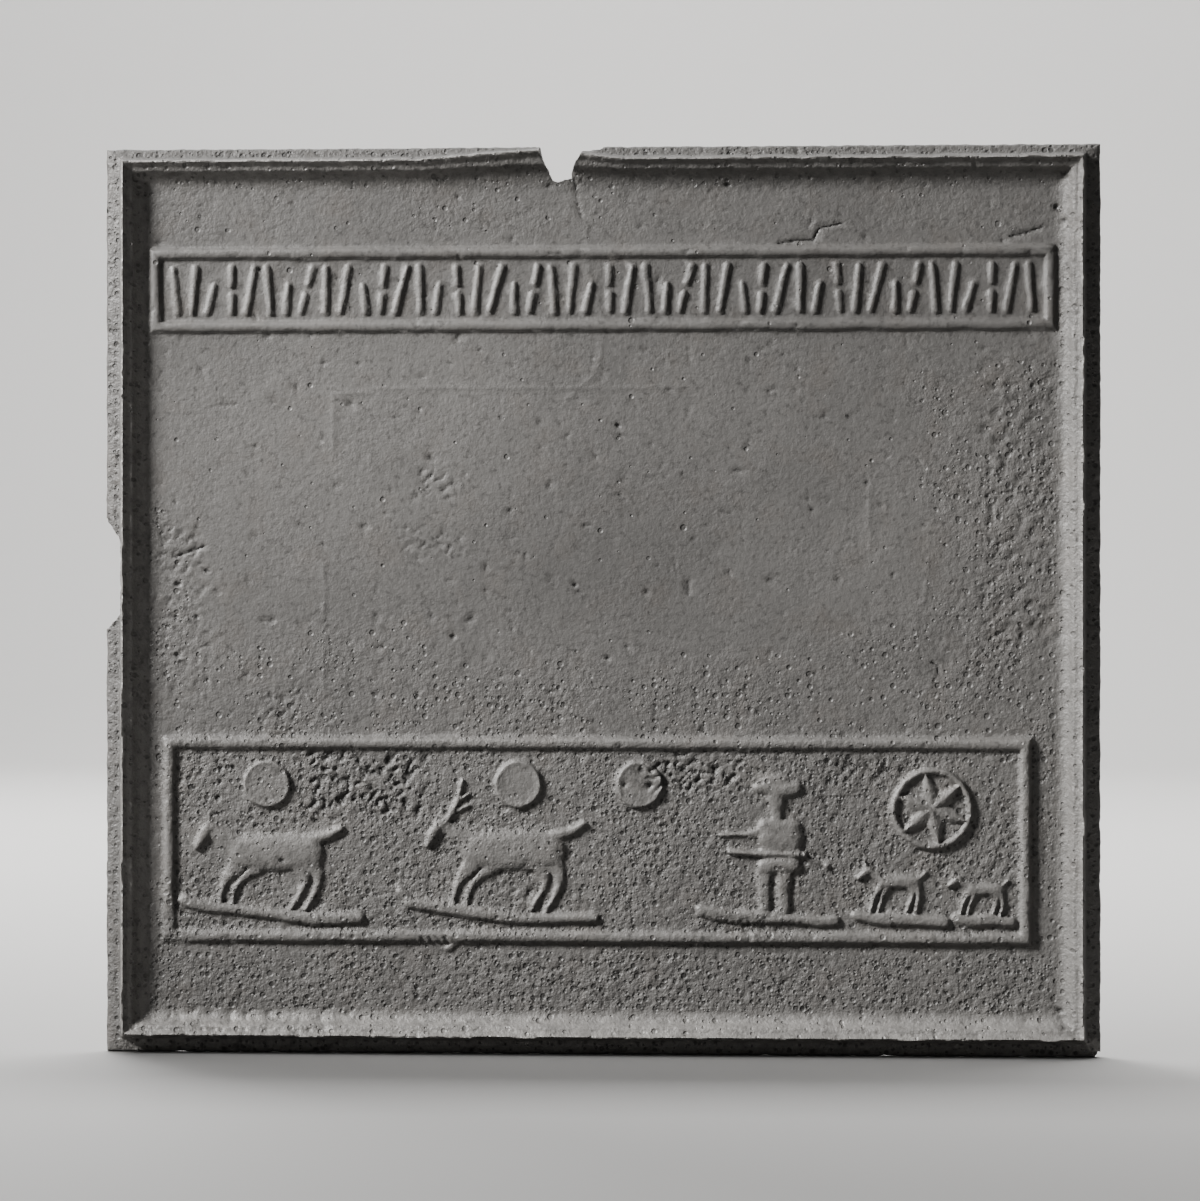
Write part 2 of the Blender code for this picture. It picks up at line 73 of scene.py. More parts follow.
# A stag that runs to the left: each limb's share of the rise, then its (x, z, half width) points as
# shares of the figure's length, from the middle of its body
BEAST = {
    "torso": (1.0, ((-0.21, 0.0, 0.108), (-0.06, 0.0, 0.118), (0.1, 0.0, 0.118), (0.2, 0.002, 0.112))),
    "neck": (0.62, ((-0.245, 0.027, 0.08), (-0.375, 0.11, 0.048), (-0.445, 0.155, 0.036))),
    "head": (0.86, ((-0.455, 0.15, 0.032), (-0.49, 0.09, 0.034), (-0.523, 0.03, 0.02))),
    "front_leg_near": (
        0.56, ((-0.264, -0.1, 0.055), (-0.318, -0.165, 0.029), (-0.35, -0.236, 0.017), (-0.368, -0.335, 0.016))
    ),
    "front_leg_far": (
        0.5, ((-0.118, -0.1, 0.042), (-0.21, -0.165, 0.022), (-0.265, -0.236, 0.015), (-0.29, -0.344, 0.014))
    ),
    "hind_leg_far": (
        0.5, ((0.155, -0.09, 0.055), (0.195, -0.173, 0.026), (0.162, -0.255, 0.017), (0.1, -0.365, 0.014))
    ),
    "hind_leg_near": (
        0.6, ((0.236, -0.064, 0.062), (0.277, -0.173, 0.029), (0.25, -0.264, 0.018), (0.19, -0.372, 0.015))
    ),
    "tail": (0.8, ((0.235, 0.083, 0.036), (0.34, 0.108, 0.027), (0.425, 0.155, 0.02))),
}
EARS = {
    "ear_front": (0.16, ((-0.505, 0.16, 0.015), (-0.524, 0.26, 0.01))),
    "ear_back": (0.2, ((-0.437, 0.165, 0.015), (-0.44, 0.25, 0.011))),
}
ANTLER = {
    "beam": (
        0.62, ((-0.43, 0.15, 0.018), (-0.373, 0.236, 0.017), (-0.336, 0.309, 0.015), (-0.309, 0.418, 0.011))
    ),
    "tine_high": (0.55, ((-0.345, 0.295, 0.014), (-0.268, 0.336, 0.01))),
    "tine_low": (0.5, ((-0.38, 0.222, 0.014), (-0.268, 0.264, 0.01))),
}
DOG = {
    "torso": (0.8, ((-0.2, 0.0, 0.095), (0.21, 0.0, 0.095))),
    "neck": (0.55, ((-0.22, 0.04, 0.075), (-0.41, 0.14, 0.055))),
    "head": (0.75, ((-0.43, 0.175, 0.06), (-0.59, 0.06, 0.036))),
    "ear": (0.5, ((-0.46, 0.19, 0.034), (-0.5, 0.29, 0.022))),
    "front_leg_near": (0.62, ((-0.24, -0.04, 0.06), (-0.34, -0.2, 0.028), (-0.42, -0.46, 0.024))),
    "front_leg_far": (0.5, ((-0.15, -0.06, 0.05), (-0.23, -0.22, 0.026), (-0.3, -0.46, 0.022))),
    "hind_leg_far": (0.5, ((0.17, -0.05, 0.06), (0.2, -0.2, 0.029), (0.1, -0.46, 0.023))),
    "hind_leg_near": (0.66, ((0.24, -0.02, 0.075), (0.29, -0.23, 0.033), (0.23, -0.47, 0.025))),
    "tail": (0.5, ((0.28, 0.05, 0.036), (0.38, 0.15, 0.022))),
}
# The hunter's points are shares of the figure's height, from between its feet
HUNTER = {
    "leg_left": (0.62, ((-0.08, 0.289, 0.052), (-0.083, 0.17, 0.046), (-0.075, 0.05, 0.043))),
    "foot_left": (0.6, ((-0.08, 0.028, 0.034), (-0.14, 0.014, 0.026))),
    "leg_right": (0.68, ((0.066, 0.289, 0.055), (0.062, 0.17, 0.049), (0.066, 0.05, 0.046))),
    "foot_right": (0.66, ((0.062, 0.028, 0.036), (0.0, 0.014, 0.028))),
    "coat": (0.95, ((-0.076, 0.35, 0.058), (0.03, 0.362, 0.062), (0.125, 0.356, 0.06))),
    "waist": (0.7, ((-0.04, 0.455, 0.07), (0.11, 0.455, 0.075))),
    "chest": (1.0, ((-0.04, 0.555, 0.088), (0.105, 0.55, 0.095))),
    "shoulders": (0.9, ((-0.068, 0.632, 0.058), (0.125, 0.625, 0.062))),
    "neck": (0.62, ((0.015, 0.7, 0.04), (0.012, 0.76, 0.038))),
    "arm": (0.6, ((-0.1, 0.6, 0.034), (-0.22, 0.582, 0.018), (-0.39, 0.572, 0.014))),
    "gun": (1.0, ((-0.33, 0.452, 0.02), (-0.2, 0.446, 0.021), (0.208, 0.436, 0.021))),
    "sword": (0.3, ((0.208, 0.415, 0.013), (0.29, 0.385, 0.011), (0.365, 0.352, 0.011))),
    "sword_end": (0.6, ((0.37, 0.352, 0.021), (0.378, 0.349, 0.021))),
    "head": (0.8, ((0.0, 0.84, 0.066), (0.012, 0.81, 0.062))),
    "hat": (0.8, ((-0.13, 0.915, 0.034), (-0.06, 0.905, 0.042), (0.03, 0.895, 0.046), (0.145, 0.908, 0.052))),
    "crown": (0.55, ((-0.05, 0.955, 0.05), (0.05, 0.955, 0.048))),
}
# The limbs, the size, the share of the panel's width where the figure stands, its middle's height over the
# ground in shares of its size, and its ground's reach left, reach right and sweep
CAST = (
    ({**BEAST, **EARS}, 102, 0.132, 0.43, 61, 55, 12),
    ({**BEAST, **EARS, **ANTLER}, 110, 0.407, 0.418, 70, 53, 11),
    (HUNTER, 92, 0.707, 0.037, 49, 39, 6),
    (DOG, 46, 0.848, 0.555, 28, 30, 3),
    (DOG, 40, 0.946, 0.52, 18, 17, 1.5),
)
DISC_SHARES = (0.121, 0.412, 0.551)
STAR_POINT = ((0.05, 0.10), (0.45, 0.245), (1.0, 0.05))
STAR_SHARE = 0.886

# The places of the breaks, as outlines that run past the plate's edge
NOTCH = (
    (-41.5, 306), (-40.5, 301), (-38.5, 293), (-36, 288), (-33.5, 283), (-32, 279), (-29, 277), (-24, 278.5),
    (-19, 279.5), (-18.5, 283), (-16, 290), (-13, 294), (-10.5, 298), (0, 299), (3, 301), (6, 306),
)
BITE = (
    (-336, 60), (-330, 57), (-328, 52), (-324, 46), (-320.6, 41), (-319, 37), (-318.9, 20), (-319.3, 5),
    (-318.8, -7), (-323, -13), (-328, -18), (-330, -20.5), (-336, -24),
)
CORNER = ((336, -289), (330.2, -294), (328.5, -297), (326.5, -299.2), (325, -301.2), (324, -307), (336, -307))
BREAKS = NOTCH, BITE, CORNER
# Corroded patches: left, low, right, high, how deep and how coarse their pits are
PATCHES = (
    (-200, -142, -118, -102, 0.8, 6.5), (30, -126, 96, -104, 0.6, 4.5), (-298, 20, -266, 50, 0.3, 4),
    (-296, -60, -258, 16, 0.2, 4.5), (250, -30, 299, 150, 0.3, 7), (-121, 70, -95, 86, 0.35, 4),
    (-130, 30, -90, 45, 0.3, 4), (-225, -82, -190, -58, 0.35, 4), (-70, -205, -10, -190, 0.35, 5),
    (60, -220, 130, -208, 0.4, 5), (150, -120, 196, -104, 0.5, 6), (-290, -300, -180, -272, 0.35, 7),
)
# Single pits: x, z, radius, depth
PITS = (
    (12, 116, 2.2, 1.2), (-17, 10, 2, 1), (-98, -24, 2.3, 1.1), (5, -38, 1.8, 0.9), (84, 275, 2.4, 1.4),
    (301, 259, 2.5, 1.6), (306, 250, 2, 1.2), (303, -270, 2.4, 1.2), (305, -281, 2, 1), (-245, -111, 2.2, 1.1),
    (-282, 11, 2.4, 1.2), (-283, -11, 2, 1.1), (-269, -11, 2, 1), (-263, 20, 2.2, 1.1), (-282, -37, 2.2, 1.1),
    (-212, -173, 2.2, 1.2), (16, -122, 2.2, 1.1), (33, -122, 3, 1.4), (27, -112, 2.5, 1.1), (40, -108.5, 2.4, 1.1),
    (55, -112, 2.6, 1.5), (75, -111, 2.4, 1.4), (47, -116, 2, 1.2), (64, -119, 2.2, 1.3), (-253, -112, 1.6, 1),
    (-254, -121, 1.6, 1), (-255, -131, 1.6, 1), (-256, -142, 1.6, 1), (-230, -150, 1.5, 0.9), (-239, -150, 1.5, 0.9),
    (-330, 260, 2.6, 1), (-331, -285, 3, 1.2), (140, 60, 1.6, 0.7), (-60, 60, 1.6, 0.7),
)
# Lumps, with their rise: one at the end of the stag's ground and one on the panel's lower bead
LUMPS = (
    (((-133, -193, 3), (-128, -197, 3.4)), 2.6),
    (((-90, -223, 2.0), (-101, -231, 2.2)), 1.5),
)
# Thin raised lines, left where the mould was marked
FINE_LINES = (
    ((-178, 100, 0.8), (-178, 138, 0.8), (-150, 138, 0.7)),
    ((-150, 141, 0.6), (60, 141, 0.5)),
    ((-184, 25, 0.7), (-184, -55, 0.7)),
    ((-9, 248, 0.8), (-8, 220, 0.8), (0, 190, 0.8), (1, 165, 0.8), (-3, 150, 0.8), (-27, 128, 0.7)),
    ((178, 90, 0.7), (178, 35, 0.7)),
    ((217, 30, 0.8), (215, 0, 0.8), (209, -8, 0.8), (208, -45, 0.7)),
    ((205, -9, 0.7), (290, -9, 0.7)),
    ((253, 98, 0.7), (295, 92, 0.7)),
)
# Cracks and grooves, with their depth
CRACKS = (
    (((-17, 279, 0.7), (-15.5, 272, 0.55), (-15.5, 264, 0.5), (-13, 256, 0.4)), 0.8),
    (((118, 236, 0.7), (130, 238, 0.8), (141, 238, 0.8), (145, 246, 0.7), (160, 249, 0.5)), 1.0),
    (((270, 240, 0.7), (280, 242, 0.8), (292, 246, 0.6)), 0.9),
    (((-284, 29, 0.8), (-275, 32, 1.0), (-264, 36, 0.7)), 0.9),
    (((219, -41, 0.8), (223, -43, 0.9), (223, -48, 0.7)), 0.8),
)

# How near an outline a cut cell's corner is drawn onto it, and how tall the side's first and last steps are
BREAK_CATCH, SIDE_STEP = 2.2, 0.9
# How deep the back is uneven: in broad waves, in fine ones and at the most
BACK_WAVES, BACK_RIPPLES, BACK_DEEPEST = 0.55, 0.3, 0.9
# How far the arrises of the plate's outer edge are rounded in, and how rough the back's skin is
ARRIS, BACK_ROUGH = 0.7, 0.62

# The stage, in metres: the floor, the backdrop that it runs up into, and where the key light comes from
FLOOR_SIZE, FLOOR_MIDDLE, WALL_HEIGHT, WALL_CURVE = (24, 14), -1.5, 7, 1.6
KEY_FROM, KEY_CONE, KEY_SOFT_EDGE, BACK_FILL_SHARE = (-0.766, -0.378, 0.511), math.radians(21), 0.35, 0.022
SENSOR = 36


def lattice(across, up, seed):
    """A repeatable number from 0 to 1 for each whole place of a lattice."""
    mixed = (across * 374761393 + up * 668265263 + seed * 1442695041) & 0xFFFFFFFF
    mixed = ((mixed ^ (mixed >> 13)) * 1274126177) & 0xFFFFFFFF
    return ((mixed ^ (mixed >> 16)) & 0xFFFFFF) / 0xFFFFFF


def cells(x, z, size):
    """The places in cells of that size, and each place's cell."""
    across, up = x / size + 4096.0, z / size + 4096.0
    return across, up, np.floor(across).astype(np.int64), np.floor(up).astype(np.int64)


def ripple(x, z, size, seed):
    """Smooth noise from about -1 to 1 whose bumps are about that size."""
    across, up, left, low = cells(x, z, size)
    dx, dz = across - left, up - low
    sums = 0
    ease_x, ease_z = (d * d * d * (d * (6 * d - 15) + 10) for d in (dx, dz))
    for i in (0, 1):
        for j in (0, 1):
            turn = 2 * math.pi * lattice(left + i, low + j, seed)
            slope = np.cos(turn) * (dx - i) + np.sin(turn) * (dz - j)
            sums = sums + slope * (ease_x if i else 1 - ease_x) * (ease_z if j else 1 - ease_z)
    return 1.5 * sums


def dimples(x, z, size, seed, share):
    """Round dimples in a share of the cells of that size: 0 beside them and up to 1 in their middles."""
    across, up, left, low = cells(x, z, size)
    deep = np.zeros(x.shape)
    for i in (-1, 0, 1):
        for j in (-1, 0, 1):
            column, row = left + i, low + j
            out_x = across - column - lattice(column, row, seed)
            out_z = up - row - lattice(column, row, seed + 1)
            radius = 0.13 + 0.24 * lattice(column, row, seed + 2) ** 1.6
            out = np.hypot(out_x, out_z) / radius
            deep = np.maximum(deep, (lattice(column, row, seed + 3) < share) * ease(1.3 - out, 0, 1) * radius / 0.37)
    return deep


def ease(value, low, high):
    """0 below low, 1 above high and smooth between them."""
    share = np.clip((value - low) / (high - low), 0, 1)
    return share * share * (3 - 2 * share)


def joined(first, second, soft):
    """The higher of two heights, with a soft fillet where they meet."""
    fillet = soft * np.clip(np.minimum(first, second) / soft, 0.001, 1)
    return np.maximum(first, second) + np.clip(fillet - np.abs(first - second), 0, None) ** 2 / (4 * fillet)


def smooth_line(points, steps=4):
    """The points of a stroke with a smooth curve run through them."""
    ends = [points[0], *points, points[-1]]
    line = []
    for before, start, end, after in zip(ends, ends[1:], ends[2:], ends[3:]):
        for step in range(steps):
            t = step / steps
            line.append(tuple(
                0.5 * (2 * b + (c - a) * t + (2 * a - 5 * b + 4 * c - d) * t * t + (3 * b - a - 3 * c + d) * t ** 3)
                for a, b, c, d in zip(before, start, end, after)
            ))
    return [*line, points[-1]]


def near(x, z, points, margin):
    """Which places lie in the box round a stroke's points."""
    across, up, half_widths = zip(*points)
    reach = margin + max(half_widths)
    inside = (x > min(across) - reach) & (x < max(across) + reach)
    return np.nonzero(inside & (z > min(up) - reach) & (z < max(up) + reach))[0]


def stroke_gap(x, z, points):
    """How far each place is outside a stroke's side, less than 0 inside, and the stroke's half width there."""
    gap, half_width = np.full(x.shape, 1e3), np.ones(x.shape)
    for (x0, z0, half0), (x1, z1, half1) in zip(points, points[1:]):
        dx, dz = x1 - x0, z1 - z0
        t = np.clip(((x - x0) * dx + (z - z0) * dz) / (dx * dx + dz * dz + 1e-9), 0, 1)
        half = half0 + (half1 - half0) * t
        here = np.hypot(x - x0 - t * dx, z - z0 - t * dz) - half
        closer = here < gap
        gap[closer], half_width[closer] = here[closer], half[closer]
    return gap, half_width


def dome(gap, half_width, flat=2.6):
    """The rounded cross-section of a stroke, 1 on its line and 0 at its side."""
    out = np.clip(1 + gap / half_width, 0, 1)
    return np.sqrt(1 - out ** flat)


def add_stroke(height, x, z, points, rise, soft=0.6, flat=2.6):
    """Raises a rounded stroke, and a small fillet at its foot, in the array of heights."""
    places = near(x, z, points, 3)
    gap, half_width = stroke_gap(x[places], z[places], points)
    foot = 0.16 * abs(rise) * np.exp(-np.clip(gap, 0, None) / 0.9) * (gap > 0)
    shape = abs(rise) * dome(gap, half_width, flat) + foot
    if rise > 0:
        height[places] = joined(height[places], shape, soft)
    else:
        height[places] -= shape


def bead(gap_in, width, rise):
    """A half-round bead that starts at gap_in = 0."""
    across = np.clip(np.abs(2 * gap_in / width - 1), 0, 1)
    foot = 0.12 * rise * np.exp(-np.clip(np.abs(gap_in - width / 2) - width / 2, 0, None) / 1.0)
    return np.maximum(rise * np.sqrt(1 - across ** 2.2), foot)


def frame_gap(x, z, left, low, right, high):
    """How far each place is in from the nearest side of a rectangle, less than 0 outside."""
    return np.minimum(np.minimum(x - left, right - x), np.minimum(z - low, high - z))


def inside(x, z, corners):
    """Which places lie inside an outline."""
    within = np.zeros(x.shape, bool)
    for (x0, z0), (x1, z1) in zip(corners, corners[1:] + corners[:1]):
        if z0 != z1:
            within ^= ((z0 > z) != (z1 > z)) & (x < (x1 - x0) * (z - z0) / (z1 - z0) + x0)
    return within


def onto(x, z, corners):
    """The nearest place on an outline for each place, and how far away it is."""
    best, near_x, near_z = np.full(x.shape, 1e9), x.copy(), z.copy()
    for (x0, z0), (x1, z1) in zip(corners, corners[1:]):
        dx, dz = x1 - x0, z1 - z0
        t = np.clip(((x - x0) * dx + (z - z0) * dz) / (dx * dx + dz * dz), 0, 1)
        far = np.hypot(x - x0 - t * dx, z - z0 - t * dz)
        closer = far < best
        best[closer] = far[closer]
        near_x[closer], near_z[closer] = (x0 + t * dx)[closer], (z0 + t * dz)[closer]
    return near_x, near_z, best


class Face:
    """The shape of the plate's face: its height above the back at any places, in millimetres."""

    def __init__(self, sizes):
        self.half_width, self.half_height = sizes.width * MM / 2, sizes.height * MM / 2
        for name in ("thickness", "rim_rise", "figure_rise", "bead_rise", "mark_rise", "grain"):
            setattr(self, name, getattr(sizes, name) * MM)
        self.side = self.half_width - FLANGE - RIM_REACH
        self.foot = FLANGE + RIM_REACH - self.half_height
        self.head = self.half_height - TOP_FLANGE - RIM_REACH
        self.band = (
            -self.side - BAND_LAP, self.head - BAND_DROP - BAND_HEIGHT, self.side + BAND_LAP, self.head - BAND_DROP
        )
        low = self.foot + PANEL_FOOT_SPACE
        self.panel = (PANEL_LEFT_SPACE - self.side, low, self.side - PANEL_RIGHT_SPACE, low + PANEL_HEIGHT)

    def panel_x(self, share):
        return self.panel[0] + (self.panel[2] - self.panel[0]) * share

    def edge_in(self, x, z):
        return frame_gap(x, z, -self.half_width, -self.half_height, self.half_width, self.half_height)

    def swell(self, x):
        """How far the top rim leans over its flange beside the notch."""
        left, peak, right = -120, -36.2, 15
        return 6.5 * np.clip(np.minimum((x - left) / (peak - left), (right - x) / (right - peak)), 0, 1)

    def rim_in(self, x, z):
        """How far each place is in from the rim's crest line, less than 0 on the flange."""
        x = x + 0.55 * ripple(x, z, 14, 71) + 0.2 * ripple(x, z, 6, 73)
        z = z + 0.55 * ripple(x, z, 14, 72) + 0.2 * ripple(x, z, 6, 74)
        swell = self.swell(x)
        top = self.half_height - TOP_FLANGE + swell - z
        top = np.where(top > 0, top / (1 + swell / RIM_REACH), top)
        side = self.half_width - FLANGE - np.abs(x)
        return np.minimum(np.minimum(side, z + self.half_height - FLANGE), top)

    def rim(self, x, z):
        """The rim and the flange outside it, as height above the back, with its edges worn round."""
        crest = self.thickness + self.rim_rise
        ledge = crest - LEDGE_DROP
        hollow_start = CREST + FIRST_DROP + LEDGE
        low_ledge = ledge - LEDGE_TILT * LEDGE_DROP
        line = np.arange(-14.0, RIM_REACH + 4, 0.1)
        turn = np.arccos(np.clip(1 - (line - hollow_start) / HOLLOW, 0, 1))
        hollow = low_ledge - (low_ledge - self.thickness) * np.sin(turn)
        steps = np.interp(
            line, (-RIM_DRAFT, -0.3, CREST, CREST + FIRST_DROP, hollow_start - 1.2, hollow_start),
            (self.thickness + FLANGE_FALL, crest, crest + 0.1, ledge + 0.1, low_ledge, low_ledge - 1.0),
        )
        profile = np.where(line > hollow_start, np.minimum(hollow, low_ledge - 1.0), steps)
        round_off = np.exp(-0.5 * (np.arange(-2.4, 2.41, 0.1) / 0.62) ** 2)
        worn = np.convolve(np.pad(profile, 24, mode="edge"), round_off / round_off.sum(), mode="valid")
        inward = self.rim_in(x, z)
        fall = FLANGE_FALL * (1 - ease(self.edge_in(x, z), -1, FLANGE - RIM_DRAFT) ** 0.8) * (inward < 0)
        return np.interp(inward, line, worn) - fall

    def bead_loss(self, x, z):
        """The share of the panel's bead that is left: its foot is broken at one place and worn at a corner."""
        teeth = 0.68 + 0.26 * np.sin((x + 0.5 * z) * 2 * math.pi / 5.2 + ripple(x, z, 6, 77))
        gone = ease(x, -125, -119) * ease(-x - 0.6 * (z - self.panel[1]), 94, 99)
        gone = gone * (0.3 + 0.7 * ease(self.panel[1] + 4.5 - z, -1, 1)) * (z < self.panel[1] + 20)
        corner = ease(-np.hypot(x - self.panel[0] - 2, z - self.panel[1] - 3), -26, -8)
        return (1 - gone * (1 - teeth)) * (1 - 0.5 * corner)

    def marks(self, height, x, z):
        """The band's row of leaning wedges, whole or parted by turns."""
        middle = (self.band[1] + self.band[3]) / 2
        half = BAND_HEIGHT / 2 - BAND_BEAD - MARK_CLEARANCE
        reach = self.band[2] - BAND_BEAD - 4 - MARK_HALF_WIDTH
        count = int(2 * reach / MARK_PITCH) + 1
        for number in range(count):
            middle_x, lean = (number - (count - 1) / 2) * MARK_PITCH, 1.3 * ((number * 7) % 5 - 1)
            low_half, high_half = MARK_HALF_WIDTH, MARK_HALF_WIDTH * 0.75
            if number % 2:
                low_half, high_half = high_half, low_half
            parting, kind = half / 5, (number * 5 + number // 4) % 7
            spans = {
                1: ((-half, -MARK_GAP), (MARK_GAP, half)),
                3: ((-half, parting),),
                4: ((-half, parting), (parting + 2 * MARK_GAP, half)),
                6: ((-half, -parting - 2 * MARK_GAP), (-parting, half)),
            }.get(kind, ((-half, half),))
            wear = 0.8 + 0.3 * ((number * 11) % 7) / 7
            for low, high in spans:
                points = (
                    (middle_x + lean * low / half, middle + low, low_half),
                    (middle_x + lean * high / half, middle + high, high_half),
                )
                add_stroke(height, x, z, points, wear * self.mark_rise)

    def figure(self, height, x, z, limbs, size, middle_x, middle_z):
        """One figure: rounded limbs on a lower plate that fills the corners between them."""
        lines = [
            (rise, smooth_line([(middle_x + px * size, middle_z + pz * size, half * size) for px, pz, half in points]))
            for rise, points in limbs.values()
        ]
        every = [point for _, line in lines for point in line]
        places = near(x, z, every, 6)
        px, pz = x[places], z[places]
        shape, union = np.zeros(px.shape), np.full(px.shape, 50.0)
        for rise, line in lines:
            gap, half_width = stroke_gap(px, pz, line)
            if rise > 0.4:
                blend = np.clip(1.6 - np.abs(union - gap), 0, None) ** 2 / 6.4
                union = np.minimum(union, gap) - blend
            shape = joined(shape, rise * self.figure_rise * dome(gap, half_width), 0.7)
        plate = 0.5 * self.figure_rise * ease(-union, -0.5, 1.1)
        foot = 0.14 * self.figure_rise * np.exp(-np.clip(union, 0, None) / 1.0)
        shape = joined(joined(shape, plate, 0.6), foot, 0.3)
        height[places] = joined(height[places], shape, 0.5)

    def ring(self, height, x, z, centre, radius, width, sink, rise):
        """A disc with a raised ring round a lower middle."""
        out = np.hypot(x - centre[0], z - centre[1])
        places = np.nonzero(out < radius + 5)[0]
        out = out[places]
        edge = np.clip(np.abs((out - radius + width / 2) / (width / 2)), 0, 1)
        shape = rise * np.sqrt(1 - edge ** 2.4)
        shape = joined(shape, sink * ease(radius - out, 0, 2), 0.5)
        shape = np.maximum(shape, 0.14 * rise * np.exp(-np.clip(out - radius, 0, None) / 1.0))
        height[places] = joined(height[places], shape, 0.4)

    def panel_relief(self, height, x, z):
        """The hunting panel's figures, their ground, the discs and the star."""
        ground = self.panel[1] + PANEL_BEAD + GROUND_LIFT
        for limbs, size, share, lift, left, right, sweep in CAST:
            middle = self.panel_x(share)
            line = []
            for step in range(9):
                along = step / 8
                wave = 0.7 * math.sin(middle + 9 * along)
                line.append((middle - left + (left + right) * along, ground + sweep * (1 - along) ** 2.4 + wave,
                             GROUND_HALF_WIDTH * (0.9 + 0.12 * math.sin(2 * middle + 7 * along))))
            add_stroke(height, x, z, line, 0.9 * self.figure_rise)
            self.figure(height, x, z, limbs, size, middle, ground + lift * size)
        for share in DISC_SHARES:
            centre = (self.panel_x(share), self.panel[3] - PANEL_BEAD - DISC_DROP - DISC_RADIUS)
            self.ring(height, x, z, centre, DISC_RADIUS, DISC_RING, 2.15, 2.6)
        centre = (self.panel_x(STAR_SHARE), self.panel[3] - PANEL_BEAD - STAR_DROP - STAR_RADIUS)
        self.ring(height, x, z, centre, STAR_RADIUS, STAR_RING, 0.05, 0.95 * self.figure_rise)
        reach = STAR_RADIUS - 0.9 * STAR_RING
        for point in range(6):
            turn = STAR_TURN + math.pi * point / 3
            across, up = reach * math.cos(turn), reach * math.sin(turn)
            points = [(centre[0] + along * across, centre[1] + along * up, half * reach) for along, half in STAR_POINT]
            add_stroke(height, x, z, smooth_line(points), (0.92 + 0.03 * point) * self.figure_rise, 0.2, 1.25)

    def heights(self, x, z):
        """The face's height above the back, with everything on it."""
        warp_x = 0.55 * ripple(x, z, 23, 3) + 0.35 * ripple(x, z, 7, 5)
        warp_z = 0.55 * ripple(x, z, 23, 4) + 0.35 * ripple(x, z, 7, 6)
        wx, wz = x + warp_x, z + warp_z
        base = self.rim(x + 0.6 * warp_x, z + 0.6 * warp_z)
        relief = bead(frame_gap(wx, wz, *self.band), BAND_BEAD, self.bead_rise - 0.2)
        self.marks(relief, wx, wz)
        panel_in = frame_gap(wx, wz, *self.panel)
        share = (x - self.panel[0]) / (self.panel[2] - self.panel[0])
        floor = PANEL_RISES[0] + (PANEL_RISES[1] - PANEL_RISES[0]) * np.clip(share, 0, 1)
        floor *= ease(panel_in, -0.6, 2.5)
        panel = bead(panel_in, PANEL_BEAD, self.bead_rise + 0.2) * self.bead_loss(x, z)
        self.panel_relief(panel, wx, wz)
        relief = np.maximum(relief, panel + floor)
        for points, rise in LUMPS:
            add_stroke(relief, wx, wz, points, rise)
        for points in FINE_LINES:
            add_stroke(relief, wx, wz, points, 0.22, 0.2)
        on_rim = np.maximum(base, np.where(relief > 0.5, self.thickness + relief, 0))
        in_field = joined(base - self.thickness, relief, 0.6) + self.thickness
        return np.where(self.rim_in(x, z) > RIM_REACH - 3, in_field, on_rim)

    def rough(self, x, z):
        """How rough the skin is from place to place, from about 0.25 where it is smooth up to 1."""
        rough = np.maximum.reduce([
            0.27 + 0.75 * ease(-z, 222, 240),  # under the panel
            0.95 * ease(frame_gap(x, z, *self.panel), -10, 3),
            0.72 * ease(x + 20 * ripple(x, z, 40, 12), 150, 270) * ease(-z, -185, -140),  # at the right
            0.3 + 0.35 * ease(-z + 20 * ripple(x, z, 50, 13), -5, 70),  # in the lower field
            0.42 * ease(z, 238, 246),  # over the band
            0.6 * ease(-x - 0.3 * np.abs(z), 255, 275) * ease(-z, -90, -50),  # at the left, beside the bite
        ])
        rough *= 0.82 + 0.36 * ease(ripple(x, z, 46, 11), -0.5, 0.5)
        inward = self.rim_in(x, z)
        on_rim = ease(-inward, -RIM_REACH - 1, 3 - RIM_REACH)
        return rough * (1 - on_rim) + np.where(inward < 1, 0.85, 0.6) * on_rim

    def wear(self, x, z, height):
        """The casting's unevenness: waves, grain, pits and cracks, in millimetres up or down."""
        rough = self.rough(x, z) * (1 - 0.5 * ease(height - self.rim(x, z), 1.0, 2.6))
        waves = 0.3 * ripple(x, z, 70, 21) + 0.16 * ripple(x, z, 28, 22)
        grain = self.grain * rough * (
            0.6 * ripple(x, z, 12, 23) + 0.6 * ripple(x, z, 6.1, 24) + 0.5 * ripple(x, z, 3.9, 25)
        )
        grain -= rough * (0.6 * dimples(x, z, 6.4, 81, 0.7 * rough) + 0.3 * dimples(x, z, 4.2, 85, 0.5 * rough))
        inward = self.rim_in(x, z)
        nicks = ease(ripple(x, z, 9, 75), 0.2, 0.75) + 0.5 * ease(ripple(x, z, 4, 76), 0.3, 0.8)
        change = waves * ease(inward, 0, 30) + grain - 0.55 * nicks * ease(-np.abs(inward - 0.4), -2.6, -0.6)
        change -= 1.9 * self.pitted(x, z)
        for points, depth in CRACKS:
            add_stroke(change, x, z, points, -depth)
        wobble = 0.7 * ripple(x, z, 3.4, 78)
        for px, pz, radius, depth in PITS:
            out = np.hypot(x - px, (z - pz) * 1.15) + wobble
            places = np.nonzero(out < radius * 1.5)[0]
            change[places] -= depth * ease(-out[places], -radius * 1.2, -radius * 0.35)
        return change

